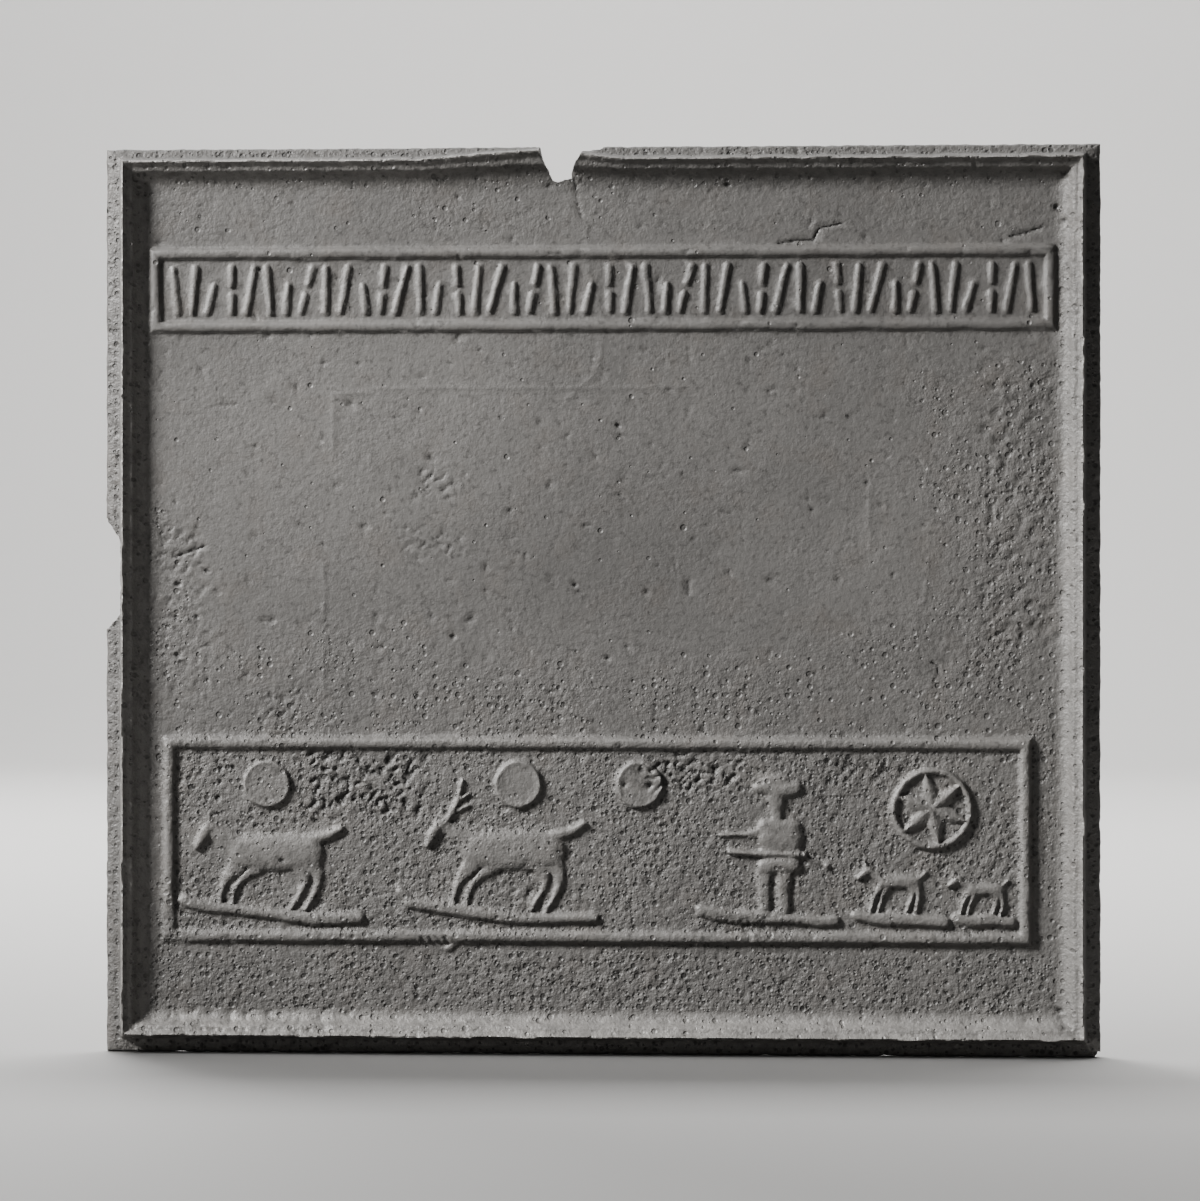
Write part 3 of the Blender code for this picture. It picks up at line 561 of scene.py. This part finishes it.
    def pitted(self, x, z):
        """0 where the skin is sound, up to 1 in the middle of corroded pits."""
        deep = np.zeros(x.shape)
        along, across = (x + z) / 2.0, (x - z) / 1.15
        for left, low, right, high, amount, size in PATCHES:
            gap = frame_gap(x + 6 * ripple(x, z, 15, 31), z + 6 * ripple(x, z, 15, 32), left, low, right, high)
            places = np.nonzero(gap > -8)[0]
            holes = ripple(along[places], across[places], size, 33) + 0.55 * ripple(x[places], z[places], size / 2, 34)
            deep[places] = np.maximum(deep[places], amount * ease(gap[places], -8, 5) * ease(holes, 0.0, 0.6))
        holes = ripple(x, z, 9, 41) + 0.35 * ripple(x, z, 4, 42)
        few = 0.35 * ease(holes, 0.62, 0.95)
        return np.maximum(deep, few)


def metres(name, text, default, least, most):
    """A length that the user can change."""
    return FloatProperty(
        name=name, description=text, default=default, min=least, max=most, subtype="DISTANCE", unit="LENGTH"
    )


def colour(name, text, default):
    """A colour that the user can change."""
    return FloatVectorProperty(
        name=name, description=text, default=default, size=3, min=0, max=1, subtype="COLOR"
    )


def power(name, text, default):
    """The power of a light, which the user can change."""
    return FloatProperty(name=name, description=text, default=default, min=0, subtype="POWER", unit="POWER")


class PlateSizes(bpy.types.PropertyGroup):
    """The plate's sizes."""

    width: metres("Width", "Across the plate, flanges included", PLATE_SIZE.x, 0.5, 0.8)
    height: metres("Height", "Up the plate, flanges included", PLATE_SIZE.z, 0.45, 0.75)
    thickness: metres("Thickness", "Of the plain field", 0.007, 0.004, 0.012)
    rim_rise: metres("Rim", "How far the rim's crest stands above the field", PLATE_SIZE.y - 0.007, 0.006, 0.02)
    figure_rise: metres("Figures", "How far the figures stand above their panel", 0.0033, 0.001, 0.008)
    bead_rise: metres("Beads", "How far the beads stand above the field", 0.0028, 0.001, 0.006)
    mark_rise: metres("Marks", "How far the band's marks stand above the field", 0.0017, 0.001, 0.005)
    grain: metres("Grain", "The height of the sand-cast grain that is shaped", 0.0005, 0, 0.001)
    cell: metres("Cell", "The width of the cells that the face is shaped with", 0.002, 0.001, 0.006)
    faces: bpy.props.IntProperty(
        name="Triangles", description="The most triangles that the finished plate keeps", default=192000, min=20000
    )


class IronFinish(bpy.types.PropertyGroup):
    """The iron's colours."""

    field: colour("Field", "The dull sooty iron of the field", (0.068, 0.0645, 0.0605))
    # A paler iron for wear, which also paints light: it lightens the left inner wall and the bottom flange, which lie
    # in the rim's shadow.
    wear_and_painted_shading: colour("Rubbed", "The paler iron of the flange, the rim and the high places", (0.148, 0.141, 0.132))
    # Besides pits, cracks and corners, this dark also paints shade under the top rim, where its shadow falls.
    dark: colour("Dark", "The iron in pits, cracks and corners", (0.018, 0.017, 0.0155))
    rust: colour("Rust", "The faint brown cast of old rust", (0.062, 0.054, 0.047))
    roughness: FloatProperty(
        name="Roughness", description="How dull the iron is", default=0.56, min=0, max=1, subtype="FACTOR"
    )
    relief: metres("Fine grain", "The depth of the finest grain, which is not shaped", 0.002, 0, 0.003)


class StageSettings(bpy.types.PropertyGroup):
    """The floor, the lights and the camera."""

    ground: colour("Floor", "The pale floor and the backdrop that it runs up into", (0.66, 0.65, 0.635))
    key_power: power("Key", "The power of the light from the upper left", 3390)
    key_size: metres("Key width", "A wider light gives softer shadows", 0.95, 0.05, 3)
    key_distance: metres("Key distance", "From the middle of the plate", 3.9, 1, 10)
    backdrop_power: power("Backdrop light", "The power of the light on the backdrop", 420)
    soft_power: power("Soft light", "The power of the soft light from above", 26)
    fill: FloatProperty(name="Fill", description="The brightness of the light from all sides", default=0.09, min=0)
    distance: metres("Camera distance", "From the middle of the plate", 2.3, 1, 10)
    share: FloatProperty(
        name="Plate's share", description="The share of the picture's width that the plate fills", default=0.83,
        min=0.2, max=1, subtype="FACTOR",
    )
    azimuth: FloatProperty(
        name="Round", description="How far the camera stands round to the right", default=math.radians(2.8),
        subtype="ANGLE", unit="ROTATION",
    )


def clear_selection():
    """Leaves object mode with nothing selected."""
    if bpy.context.object and bpy.context.object.mode != "OBJECT":
        switch("OBJECT")
    bpy.ops.object.select_all(action="DESELECT")


def switch(mode, pick=None):
    """Goes to object or edit mode, and there to picking faces, edges or vertices with none picked."""
    bpy.ops.object.mode_set(mode=mode)
    if pick:
        bpy.ops.mesh.select_mode(type=pick)
        bpy.ops.mesh.select_all(action="DESELECT")


def vectors(items, name):
    """A vector of each vertex or face, as rows of x, y, z."""
    values = np.empty(len(items) * 3, np.float32)
    items.foreach_get(name, values)
    return values.reshape(-1, 3).astype(float)


def coordinates(mesh):
    """The vertices' places as rows of x, y, z in millimetres."""
    return vectors(mesh.vertices, "co") * MM


def place(mesh, places):
    """Puts the vertices at rows of x, y, z in millimetres."""
    mesh.vertices.foreach_set("co", (places / MM).astype(np.float32).ravel())
    mesh.update()


def attribute(mesh, name, values):
    """Stores one number per vertex under that name."""
    layer = mesh.attributes.get(name) or mesh.attributes.new(name, "FLOAT", "POINT")
    layer.data.foreach_set("value", np.asarray(values, np.float32))


def cut_sheet(sizes):
    """A flat sheet of fine cells with the breaks and the lost corner cut from its edge."""
    clear_selection()
    cells_across, cells_up = round(sizes.width / sizes.cell), round(sizes.height / sizes.cell)
    bpy.ops.mesh.primitive_grid_add(
        x_subdivisions=cells_across, y_subdivisions=cells_up, size=1, rotation=(math.pi / 2, 0, 0)
    )
    sheet = bpy.context.object
    sheet.scale = (sizes.width, sizes.height, 1)
    bpy.ops.object.transform_apply(location=True, rotation=True, scale=True)
    centres = vectors(sheet.data.polygons, "center") * MM
    x, z = centres[:, 0], centres[:, 2]
    lost = np.logical_or.reduce([inside(x, z, outline) for outline in BREAKS])
    switch("EDIT", "FACE")
    switch("OBJECT")
    sheet.data.polygons.foreach_set("select", lost)
    switch("EDIT")
    bpy.ops.mesh.delete(type="FACE")
    switch("EDIT", "VERT")
    bpy.ops.mesh.select_non_manifold(extend=False, use_wire=False, use_boundary=True)
    switch("OBJECT")
    rim = np.zeros(len(sheet.data.vertices), bool)
    sheet.data.vertices.foreach_get("select", rim)
    places = coordinates(sheet.data)
    x, z = places[:, 0], places[:, 2]
    for outline in BREAKS:
        near_x, near_z, far = onto(x, z, outline)
        moved = rim & (far < BREAK_CATCH) & (Face(sizes).edge_in(x, z) >= 0.1)
        x[moved], z[moved] = near_x[moved], near_z[moved]
    place(sheet.data, places)
    return sheet


def thicken(sizes):
    """Draws the new sheet out into a slab: a back, a side in four steps and a face of finer cells."""
    switch("EDIT", "FACE")
    bpy.ops.mesh.select_all(action="SELECT")
    reach, step = 0, SIDE_STEP / MM
    for depth in (step, 0.5 * sizes.thickness, sizes.thickness - step, sizes.thickness):
        bpy.ops.mesh.extrude_region_move(TRANSFORM_OT_translate={"value": (0, reach - depth, 0)})
        reach = depth
    bpy.ops.mesh.subdivide(number_cuts=1)
    bpy.ops.mesh.select_all(action="SELECT")
    bpy.ops.mesh.normals_make_consistent(inside=False)
    switch("OBJECT")


def shape_slab(plate, sizes):
    """Shapes the face, roughens the back and rounds the edges."""
    face = Face(sizes)
    places = coordinates(plate.data)
    x, depth, z = places[:, 0].copy(), -places[:, 1], places[:, 2].copy()
    front, back = depth > face.thickness - 0.05, depth < 0.05
    to_edge = face.edge_in(x, z)
    break_far = np.minimum.reduce([onto(x, z, outline)[2] for outline in BREAKS])
    to_side = np.minimum(to_edge, break_far)
    height = np.where(front, 0, depth)
    fx, fz = x[front], z[front]
    full = face.heights(fx, fz)
    full = full + face.wear(fx, fz, full)
    top = face.thickness + face.rim_rise
    full = np.minimum(full, top - 0.02 - 0.12 * np.clip(top - full, 0, 1))
    height[front] = full
    # The sides follow the height of the face at the edge, which is more than the slab's in a break
    side = ~front & ~back
    edge_height = face.heights(x[side], z[side])
    share = (depth[side] - SIDE_STEP) / (face.thickness - 2 * SIDE_STEP)
    height[side] = SIDE_STEP + np.clip(share, 0, 1) * (edge_height - 2 * SIDE_STEP)
    bx, bz = x[back], z[back]
    uneven = BACK_WAVES * (0.5 + 0.5 * ripple(bx, bz, 34, 51)) + BACK_RIPPLES * np.abs(ripple(bx, bz, 9, 52))
    height[back] = np.clip(uneven * ease(to_side[back], 0, 6), 0, BACK_DEEPEST)
    # The edge wanders in by up to a millimetre, its arrises are rounded and the breaks are jagged
    ragged = 0.35 + 0.45 * ripple(x, z, 13, 61) + 0.25 * ripple(x, z, 5, 62)
    ragged = np.clip(ragged, 0, 1.2) + 0.25 * ripple(depth * 3 + x, z, 3, 63) * side
    pull = np.clip(ragged, 0, 1.4) * ease(-to_edge, -4, -0.2)
    pull = pull + ARRIS * ((front | back) & (to_side < 0.6) & (to_edge < 0.6))
    x = x - np.sign(x) * pull * (face.half_width - np.abs(x) < 4)
    z = z - np.sign(z) * pull * (face.half_height - np.abs(z) < 4)
    jag = ease(-break_far, -1.2, -0.2) * (to_edge > 0.6)
    x = x + jag * 0.7 * ripple(x + 40 + 2 * depth, z, 3.2, 64)
    z = z + jag * 0.7 * ripple(x + 80, z + 2 * depth, 3.2, 65)
    places[:, 0], places[:, 1], places[:, 2] = x, -height, z
    place(plate.data, places)


def thin_out(plate, sizes):
    """Lowers the number of faces where the surface is plain, and shades the plate smooth."""
    plate.data.update()
    triangles = sum(len(face.vertices) - 2 for face in plate.data.polygons)
    fewer = plate.modifiers.new("thin_out", "DECIMATE")
    fewer.decimate_type = "COLLAPSE"
    fewer.ratio = min(1, sizes.faces / triangles)
    fewer.use_collapse_triangulate = True
    bpy.ops.object.modifier_apply(modifier="thin_out")
    half = np.array((sizes.width * MM / 2, 0, sizes.height * MM / 2))
    proud = np.array((0, (sizes.thickness + sizes.rim_rise) * MM, 0))
    place(plate.data, np.clip(coordinates(plate.data), -half - proud, half))
    bpy.ops.object.shade_smooth_by_angle(angle=math.radians(50))


def mark_surface(plate, sizes):
    """Stores the iron's wear, its painted light and shade, and where it is dark or pitted, for the finish."""
    face = Face(sizes)
    places = coordinates(plate.data)
    x, height, z = places[:, 0], -places[:, 1], places[:, 2]
    inward = face.rim_in(x, z)
    facing = height > 2
    lower_right = (x / face.half_width - z / face.half_height) > 0
    top = ~lower_right & ((x / face.half_width + z / face.half_height) > 0)
    to_left = ease(-x, 20, 160)
    # Wear pales the crest and the relief tops. The values by side also paint light and shade: painted light makes the
    # bottom flange and the left inner wall, which lie in the rim's shadow, paler, and painted shadow keeps the right
    # flange and the top inner wall under the crest dark; the right inner wall and the top crest are kept low too.
    flange = 1.0 * (lower_right & (z < FLANGE - face.half_height))
    slope = np.where(
        lower_right, np.where(x > face.side, 0.12, 0.58), np.where(top, 0.25 + 0.45 * to_left, 1.0)
    )
    slope *= 1 - ease(inward, RIM_REACH - 8, RIM_REACH + 2)
    crest = np.where(top, 0.2 + 0.4 * to_left, 0.8) * ease(-np.abs(inward - 0.6), -2.2, -0.4)
    wear_and_painted_shading = np.maximum(np.where(inward < 0, flange, slope), crest)
    relief = face.heights(x, z) - face.rim(x, z)
    wear_and_painted_shading = np.maximum(wear_and_painted_shading, 0.2 * ease(relief, 1.2, 3.4))
    flat = np.abs(vectors(plate.data.vertices, "normal")[:, 1])
    wear_and_painted_shading *= facing * (0.1 + 0.9 * ease(flat, 0.15, 0.5))
    attribute(plate.data, "wear_and_painted_shading", wear_and_painted_shading)
    pits = face.pitted(x, z)
    for points, _ in CRACKS:
        crack = np.zeros(x.shape)
        add_stroke(crack, x, z, points, 0.7)
        pits = np.maximum(pits, np.clip(crack, 0, 1))
    for px, pz, radius, _ in PITS:
        pits = np.maximum(pits, ease(-np.hypot(x - px, z - pz), -radius, -radius * 0.3))
    attribute(plate.data, "pitted", pits * facing)
    rough = face.rough(x, z) * (0.3 + 0.7 * ease(flat, 0.3, 0.7)) * (1 - 0.4 * ease(relief, 1.0, 2.6))
    attribute(plate.data, "rough", np.where(facing, rough, BACK_ROUGH))
    # Paler at the field's upper left, at the right and at the foot; sooty in its middle, on the left and top
    # flanges and along the band; painted shade under the top rim; and dark on the sides and in the breaks
    pale = 0.55 * ease(-np.hypot((x + 150) / 1.3, z - 115), -130, -40)
    pale += 0.35 * ease(x, 140, 260) + 0.25 * ease(-z, 60, 110)
    pale -= 0.6 * ease(-np.hypot(x - 10, z - 30), -110, -10)
    pale -= np.where(x < 14 - face.half_width, 0.45, 1.0) * ((inward < -1) & ~lower_right)
    pale -= 0.6 * ease(-np.abs(z - (face.band[1] + face.band[3]) / 2), -30, -22) * ease(x, -100, 150)
    # Painted shade: the top rim's inner wall and hollow are darkened from its middle to the right, where the rim's
    # shadow falls.
    pale -= 0.9 * top * ease(x, -160, 0) * ease(-np.abs(inward - 11), -12, -7)
    attribute(plate.data, "pale", pale * facing * ease(flat, 0.15, 0.5) - 0.5 * (1 - ease(flat, 0.1, 0.4)))


class STOVE_OT_cast_plate(bpy.types.Operator):
    """Cast the plate with its rim, band, panel, figures and breaks."""

    bl_idname = "stove.cast_plate"
    bl_label = "Cast plate"
    bl_options = {"REGISTER", "UNDO"}

    def execute(self, context):
        sizes = context.scene.plate_sizes
        plate = cut_sheet(sizes)
        plate.name = plate.data.name = "cast_plate"
        thicken(sizes)
        shape_slab(plate, sizes)
        thin_out(plate, sizes)
        mark_surface(plate, sizes)
        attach(plate, "root")
        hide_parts("stove_plate")
        return {"FINISHED"}


class Nodes:
    """Adds and joins the nodes of one material."""

    def __init__(self, name):
        self.material = bpy.data.materials.new(name)
        self.material.use_nodes = True
        self.tree = self.material.node_tree
        self.shader = self.tree.nodes["Principled BSDF"]

    def add(self, kind, inputs=None, **settings):
        node = self.tree.nodes.new(kind)
        for name, value in settings.items():
            setattr(node, name, value)
        return self.fill(node, inputs or {})

    def fill(self, node, inputs):
        """Joins each input to another node's socket, or sets it to a value."""
        for key, value in inputs.items():
            if isinstance(value, bpy.types.NodeSocket):
                self.tree.links.new(value, node.inputs[key])
            else:
                node.inputs[key].default_value = value
        return node

    def noise(self, coordinates, scale, detail=3.0, roughness=0.5):
        return self.add("ShaderNodeTexNoise", {
            "Vector": coordinates, "Scale": scale, "Detail": detail, "Roughness": roughness,
        }).outputs["Fac"]

    def spread(self, value, low, high, to_low=0.0, to_high=1.0):
        return self.add("ShaderNodeMapRange", {
            "Value": value, "From Min": low, "From Max": high, "To Min": to_low, "To Max": to_high,
        }).outputs["Result"]

    def math(self, operation, first, second):
        return self.add("ShaderNodeMath", {0: first, 1: second}, operation=operation).outputs[0]

    def mix(self, share, first, second):
        return self.add("ShaderNodeMix", {"Factor": share, 6: first, 7: second}, data_type="RGBA").outputs[2]

    def stored(self, name):
        return self.add("ShaderNodeAttribute", attribute_name=name).outputs["Fac"]


def iron(finish):
    """Old cast iron: sooty in the field, worn pale on the rim, dark in its pits, with painted light and shade on the
    rim's walls, its flanges and under the top rim.
    """
    nodes = Nodes("cast_iron_finish")
    where = nodes.add("ShaderNodeTexCoord").outputs["Object"]
    wear_and_painted_shading, pitted, rough, pale = (nodes.stored(name) for name in ("wear_and_painted_shading", "pitted", "rough", "pale"))
    polish_and_painted_light, soot_and_painted_shade, rust = (*finish.wear_and_painted_shading, 1), (*finish.dark, 1), (*finish.rust, 1)
    clouds = nodes.noise(where, 9, 3, 0.6)
    blotches = nodes.noise(where, 38, 3, 0.62)
    specks = nodes.noise(where, 260, 2, 0.6)
    tone = nodes.mix(
        nodes.spread(clouds, 0.3, 0.7), (*[0.88 * c for c in finish.field], 1), (*[1.14 * c for c in finish.field], 1)
    )
    tone = nodes.mix(nodes.spread(blotches, 0.52, 0.75, 0, 0.45), tone, rust)
    tone = nodes.mix(nodes.spread(pale, 0, 1, 0, 0.3), tone, polish_and_painted_light)
    # Painted shade: the darker tone covers the top rim's inner wall and hollow where the rim's shadow falls, as well
    # as the sooty middle, flanges and band.
    tone = nodes.mix(nodes.spread(pale, 0, -1, 0, 0.3), tone, soot_and_painted_shade)
    # Wear and painted light and shade: the paler iron on the crest and relief tops is real wear, while on the bottom
    # flange and the left inner wall it is painted light in the rim's shadow.
    edge = nodes.math("MULTIPLY", wear_and_painted_shading, nodes.spread(nodes.noise(where, 110, 3, 0.65), 0.32, 0.62, 0.4, 1.35))
    tone = nodes.mix(edge, tone, polish_and_painted_light)
    tone = nodes.mix(nodes.spread(specks, 0.44, 0.3, 0, 0.4), tone, soot_and_painted_shade)
    flat = nodes.add("ShaderNodeSeparateXYZ", {"Vector": where})
    flat = nodes.add("ShaderNodeCombineXYZ", {"X": flat.outputs["X"], "Y": flat.outputs["Z"]}).outputs["Vector"]
    # Pocks of two sizes: how many cells to a metre, the share with a pock where the skin is roughest, the widest
    pocks = 0.0
    for scale, share, widest in ((145.0, 0.85, 0.3), (250.0, 0.6, 0.33)):
        voronoi = nodes.add("ShaderNodeTexVoronoi", {"Vector": flat, "Scale": scale}, voronoi_dimensions="2D")
        chance = nodes.add("ShaderNodeSeparateColor", {"Color": voronoi.outputs["Color"]})
        radius = nodes.spread(chance.outputs["Green"], 0, 1, 0.08, widest)
        dip = nodes.spread(nodes.math("SUBTRACT", radius, voronoi.outputs["Distance"]), -0.04, 0.1)
        picked = nodes.math("LESS_THAN", chance.outputs["Red"], nodes.spread(rough, 0.42, 1, 0.01, share))
        pocks = nodes.math("MAXIMUM", nodes.math("MULTIPLY", dip, picked), pocks)
    tone = nodes.mix(nodes.math("MULTIPLY", pocks, nodes.spread(rough, 0.6, 1, 0.35, 0.75)), tone, soot_and_painted_shade)
    tone = nodes.mix(nodes.spread(pitted, 0.05, 0.7, 0, 0.75), tone, soot_and_painted_shade)
    dull = nodes.math("ADD", nodes.spread(specks, 0.3, 0.7, finish.roughness - 0.06, finish.roughness + 0.08),
                      nodes.spread(wear_and_painted_shading, 0, 1, 0.03, -0.06))
    fine = nodes.noise(where, 340, 2, 0.6)
    bumps = nodes.math("MULTIPLY", fine, nodes.spread(rough, 0, 1, 0.034, 0.68))
    bumps = nodes.math("SUBTRACT", bumps, nodes.math("MULTIPLY", pocks, 0.4))
    bump = nodes.add("ShaderNodeBump", {"Height": bumps, "Distance": finish.relief, "Strength": 0.85})
    nodes.fill(nodes.shader, {
        "Base Color": tone, "Roughness": dull, "Metallic": 0.25, "Specular IOR Level": 0.4,
        "Normal": bump.outputs["Normal"],
    })
    return nodes.material


class STOVE_OT_finish_iron(bpy.types.Operator):
    """Give the plate its sooty, worn and pitted iron, with painted light and shade round the rim."""

    bl_idname = "stove.finish_iron"
    bl_label = "Finish iron"
    bl_options = {"REGISTER", "UNDO"}

    def execute(self, context):
        plate = bpy.data.objects["cast_plate"]
        plate.data.materials.clear()
        plate.data.materials.append(iron(context.scene.iron_finish))
        return {"FINISHED"}


def pick_edges(item, picked):
    """Selects the edges whose ends both lie where they should, and stays in edit mode."""
    switch("EDIT", "EDGE")
    switch("OBJECT")
    for edge in item.data.edges:
        edge.select = all(picked(item.data.vertices[end].co) for end in edge.vertices)
    switch("EDIT")


def floor_sweep(stage):
    """A pale floor at the plate's lower edge that curves up into a far backdrop."""
    clear_selection()
    low = PLATE_LOW.z
    bpy.ops.mesh.primitive_plane_add(size=1, location=(0, 0, 0))
    floor = bpy.context.object
    floor.name = floor.data.name = "floor"
    floor.scale = (*FLOOR_SIZE, 1)
    floor.location = (0, FLOOR_MIDDLE, low)
    bpy.ops.object.transform_apply(location=True, rotation=True, scale=True)
    far = FLOOR_MIDDLE + FLOOR_SIZE[1] / 2 - 0.01
    pick_edges(floor, lambda end: end.y > far)
    bpy.ops.mesh.extrude_region_move(TRANSFORM_OT_translate={"value": (0, 0, WALL_HEIGHT)})
    pick_edges(floor, lambda end: end.y > far and end.z < low + 0.01)
    bpy.ops.mesh.bevel(offset=WALL_CURVE, segments=24)
    switch("OBJECT")
    bpy.ops.object.shade_smooth()
    nodes = Nodes("pale_floor")
    where = nodes.add("ShaderNodeTexCoord").outputs["Object"]
    ground = stage.ground
    tone = nodes.mix(nodes.noise(where, 3, 4), (*[0.98 * c for c in ground], 1), (*[1.01 * c for c in ground], 1))
    nodes.fill(nodes.shader, {"Base Color": tone, "Roughness": 0.85})
    floor.data.materials.append(nodes.material)


def aimed(name, data, location, target):
    """A light or camera at a place, turned towards another."""
    item = bpy.data.objects.new(name, data)
    bpy.context.scene.collection.objects.link(item)
    item.location = location
    item.rotation_euler = (Vector(target) - Vector(location)).to_track_quat("-Z", "Y").to_euler()
    return item


class STOVE_OT_set_stage(bpy.types.Operator):
    """Set the pale floor, the lights and the camera."""

    bl_idname = "stove.set_stage"
    bl_label = "Set stage"
    bl_options = {"REGISTER", "UNDO"}

    def execute(self, context):
        scene = context.scene
        stage, sizes = scene.stage_settings, scene.plate_sizes
        floor_sweep(stage)
        towards = Vector(KEY_FROM).normalized() * stage.key_distance
        key = bpy.data.lights.new("key", "SPOT")
        key.energy, key.shadow_soft_size = stage.key_power, stage.key_size / 2
        key.spot_size, key.spot_blend = KEY_CONE, KEY_SOFT_EDGE
        key_item = aimed("key", key, towards, (0, 0, 0))
        plate_alone = bpy.data.collections.new("lit_by_key")
        plate_alone.objects.link(bpy.data.objects["cast_plate"])
        key_item.light_linking.receiver_collection = plate_alone
        for name, location, target, energy, width in (
            ("soft_top", (-1.3, -0.7, 2.6), (0, 0, 0), stage.soft_power, 1.8),
            ("backdrop_light", (0, 1.2, 3.6), (0, 5.5, 0.6), stage.backdrop_power, 3),
            ("back_fill", (-1.6, 2.6, 2.0), (0, 0, 0), BACK_FILL_SHARE * stage.key_power, 1.6),
        ):
            light = bpy.data.lights.new(name, "AREA")
            light.energy, light.size = energy, width
            aimed(name, light, location, target)
        scene.world = world = scene.world or bpy.data.worlds.new("world")
        world.use_nodes = True
        sky = world.node_tree.nodes["Background"]
        sky.inputs["Color"].default_value = (0.95, 0.97, 1, 1)
        sky.inputs["Strength"].default_value = stage.fill
        data = bpy.data.cameras.new("camera")
        data.sensor_width = SENSOR
        data.lens = SENSOR * stage.distance * stage.share / sizes.width
        data.dof.use_dof = False
        middle = Vector((0, PLATE_LOW.y / 2, 0))
        offset = Vector((math.sin(stage.azimuth), -math.cos(stage.azimuth), 0)) * stage.distance
        camera = aimed("camera", data, middle + offset, middle)
        data.clip_start, data.clip_end = 0.05, 60
        scene.camera = camera
        return {"FINISHED"}


class STOVE_PT_panel(bpy.types.Panel):
    """The plate's settings and steps."""

    bl_label = "Stove plate"
    bl_idname = "STOVE_PT_panel"
    bl_space_type = "VIEW_3D"
    bl_region_type = "UI"
    bl_category = "Stove plate"

    def draw(self, context):
        for name, step in zip(GROUPS, ("stove.cast_plate", "stove.finish_iron", "stove.set_stage")):
            group = getattr(context.scene, name)
            column = self.layout.box().column()
            for key in group.__annotations__:
                column.prop(group, key)
            column.operator(step)


GROUPS = {"plate_sizes": PlateSizes, "iron_finish": IronFinish, "stage_settings": StageSettings}
CLASSES = (*GROUPS.values(), STOVE_OT_cast_plate, STOVE_OT_finish_iron, STOVE_OT_set_stage, STOVE_PT_panel)


def register():
    for each in CLASSES:
        bpy.utils.register_class(each)
    for name, group in GROUPS.items():
        setattr(bpy.types.Scene, name, PointerProperty(type=group))


def unregister():
    for name in GROUPS:
        delattr(bpy.types.Scene, name)
    for each in reversed(CLASSES):
        bpy.utils.unregister_class(each)


def main():
    register()
    bpy.ops.stove.cast_plate()
    bpy.ops.stove.finish_iron()
    bpy.ops.stove.set_stage()


if __name__ == "__main__":
    main()
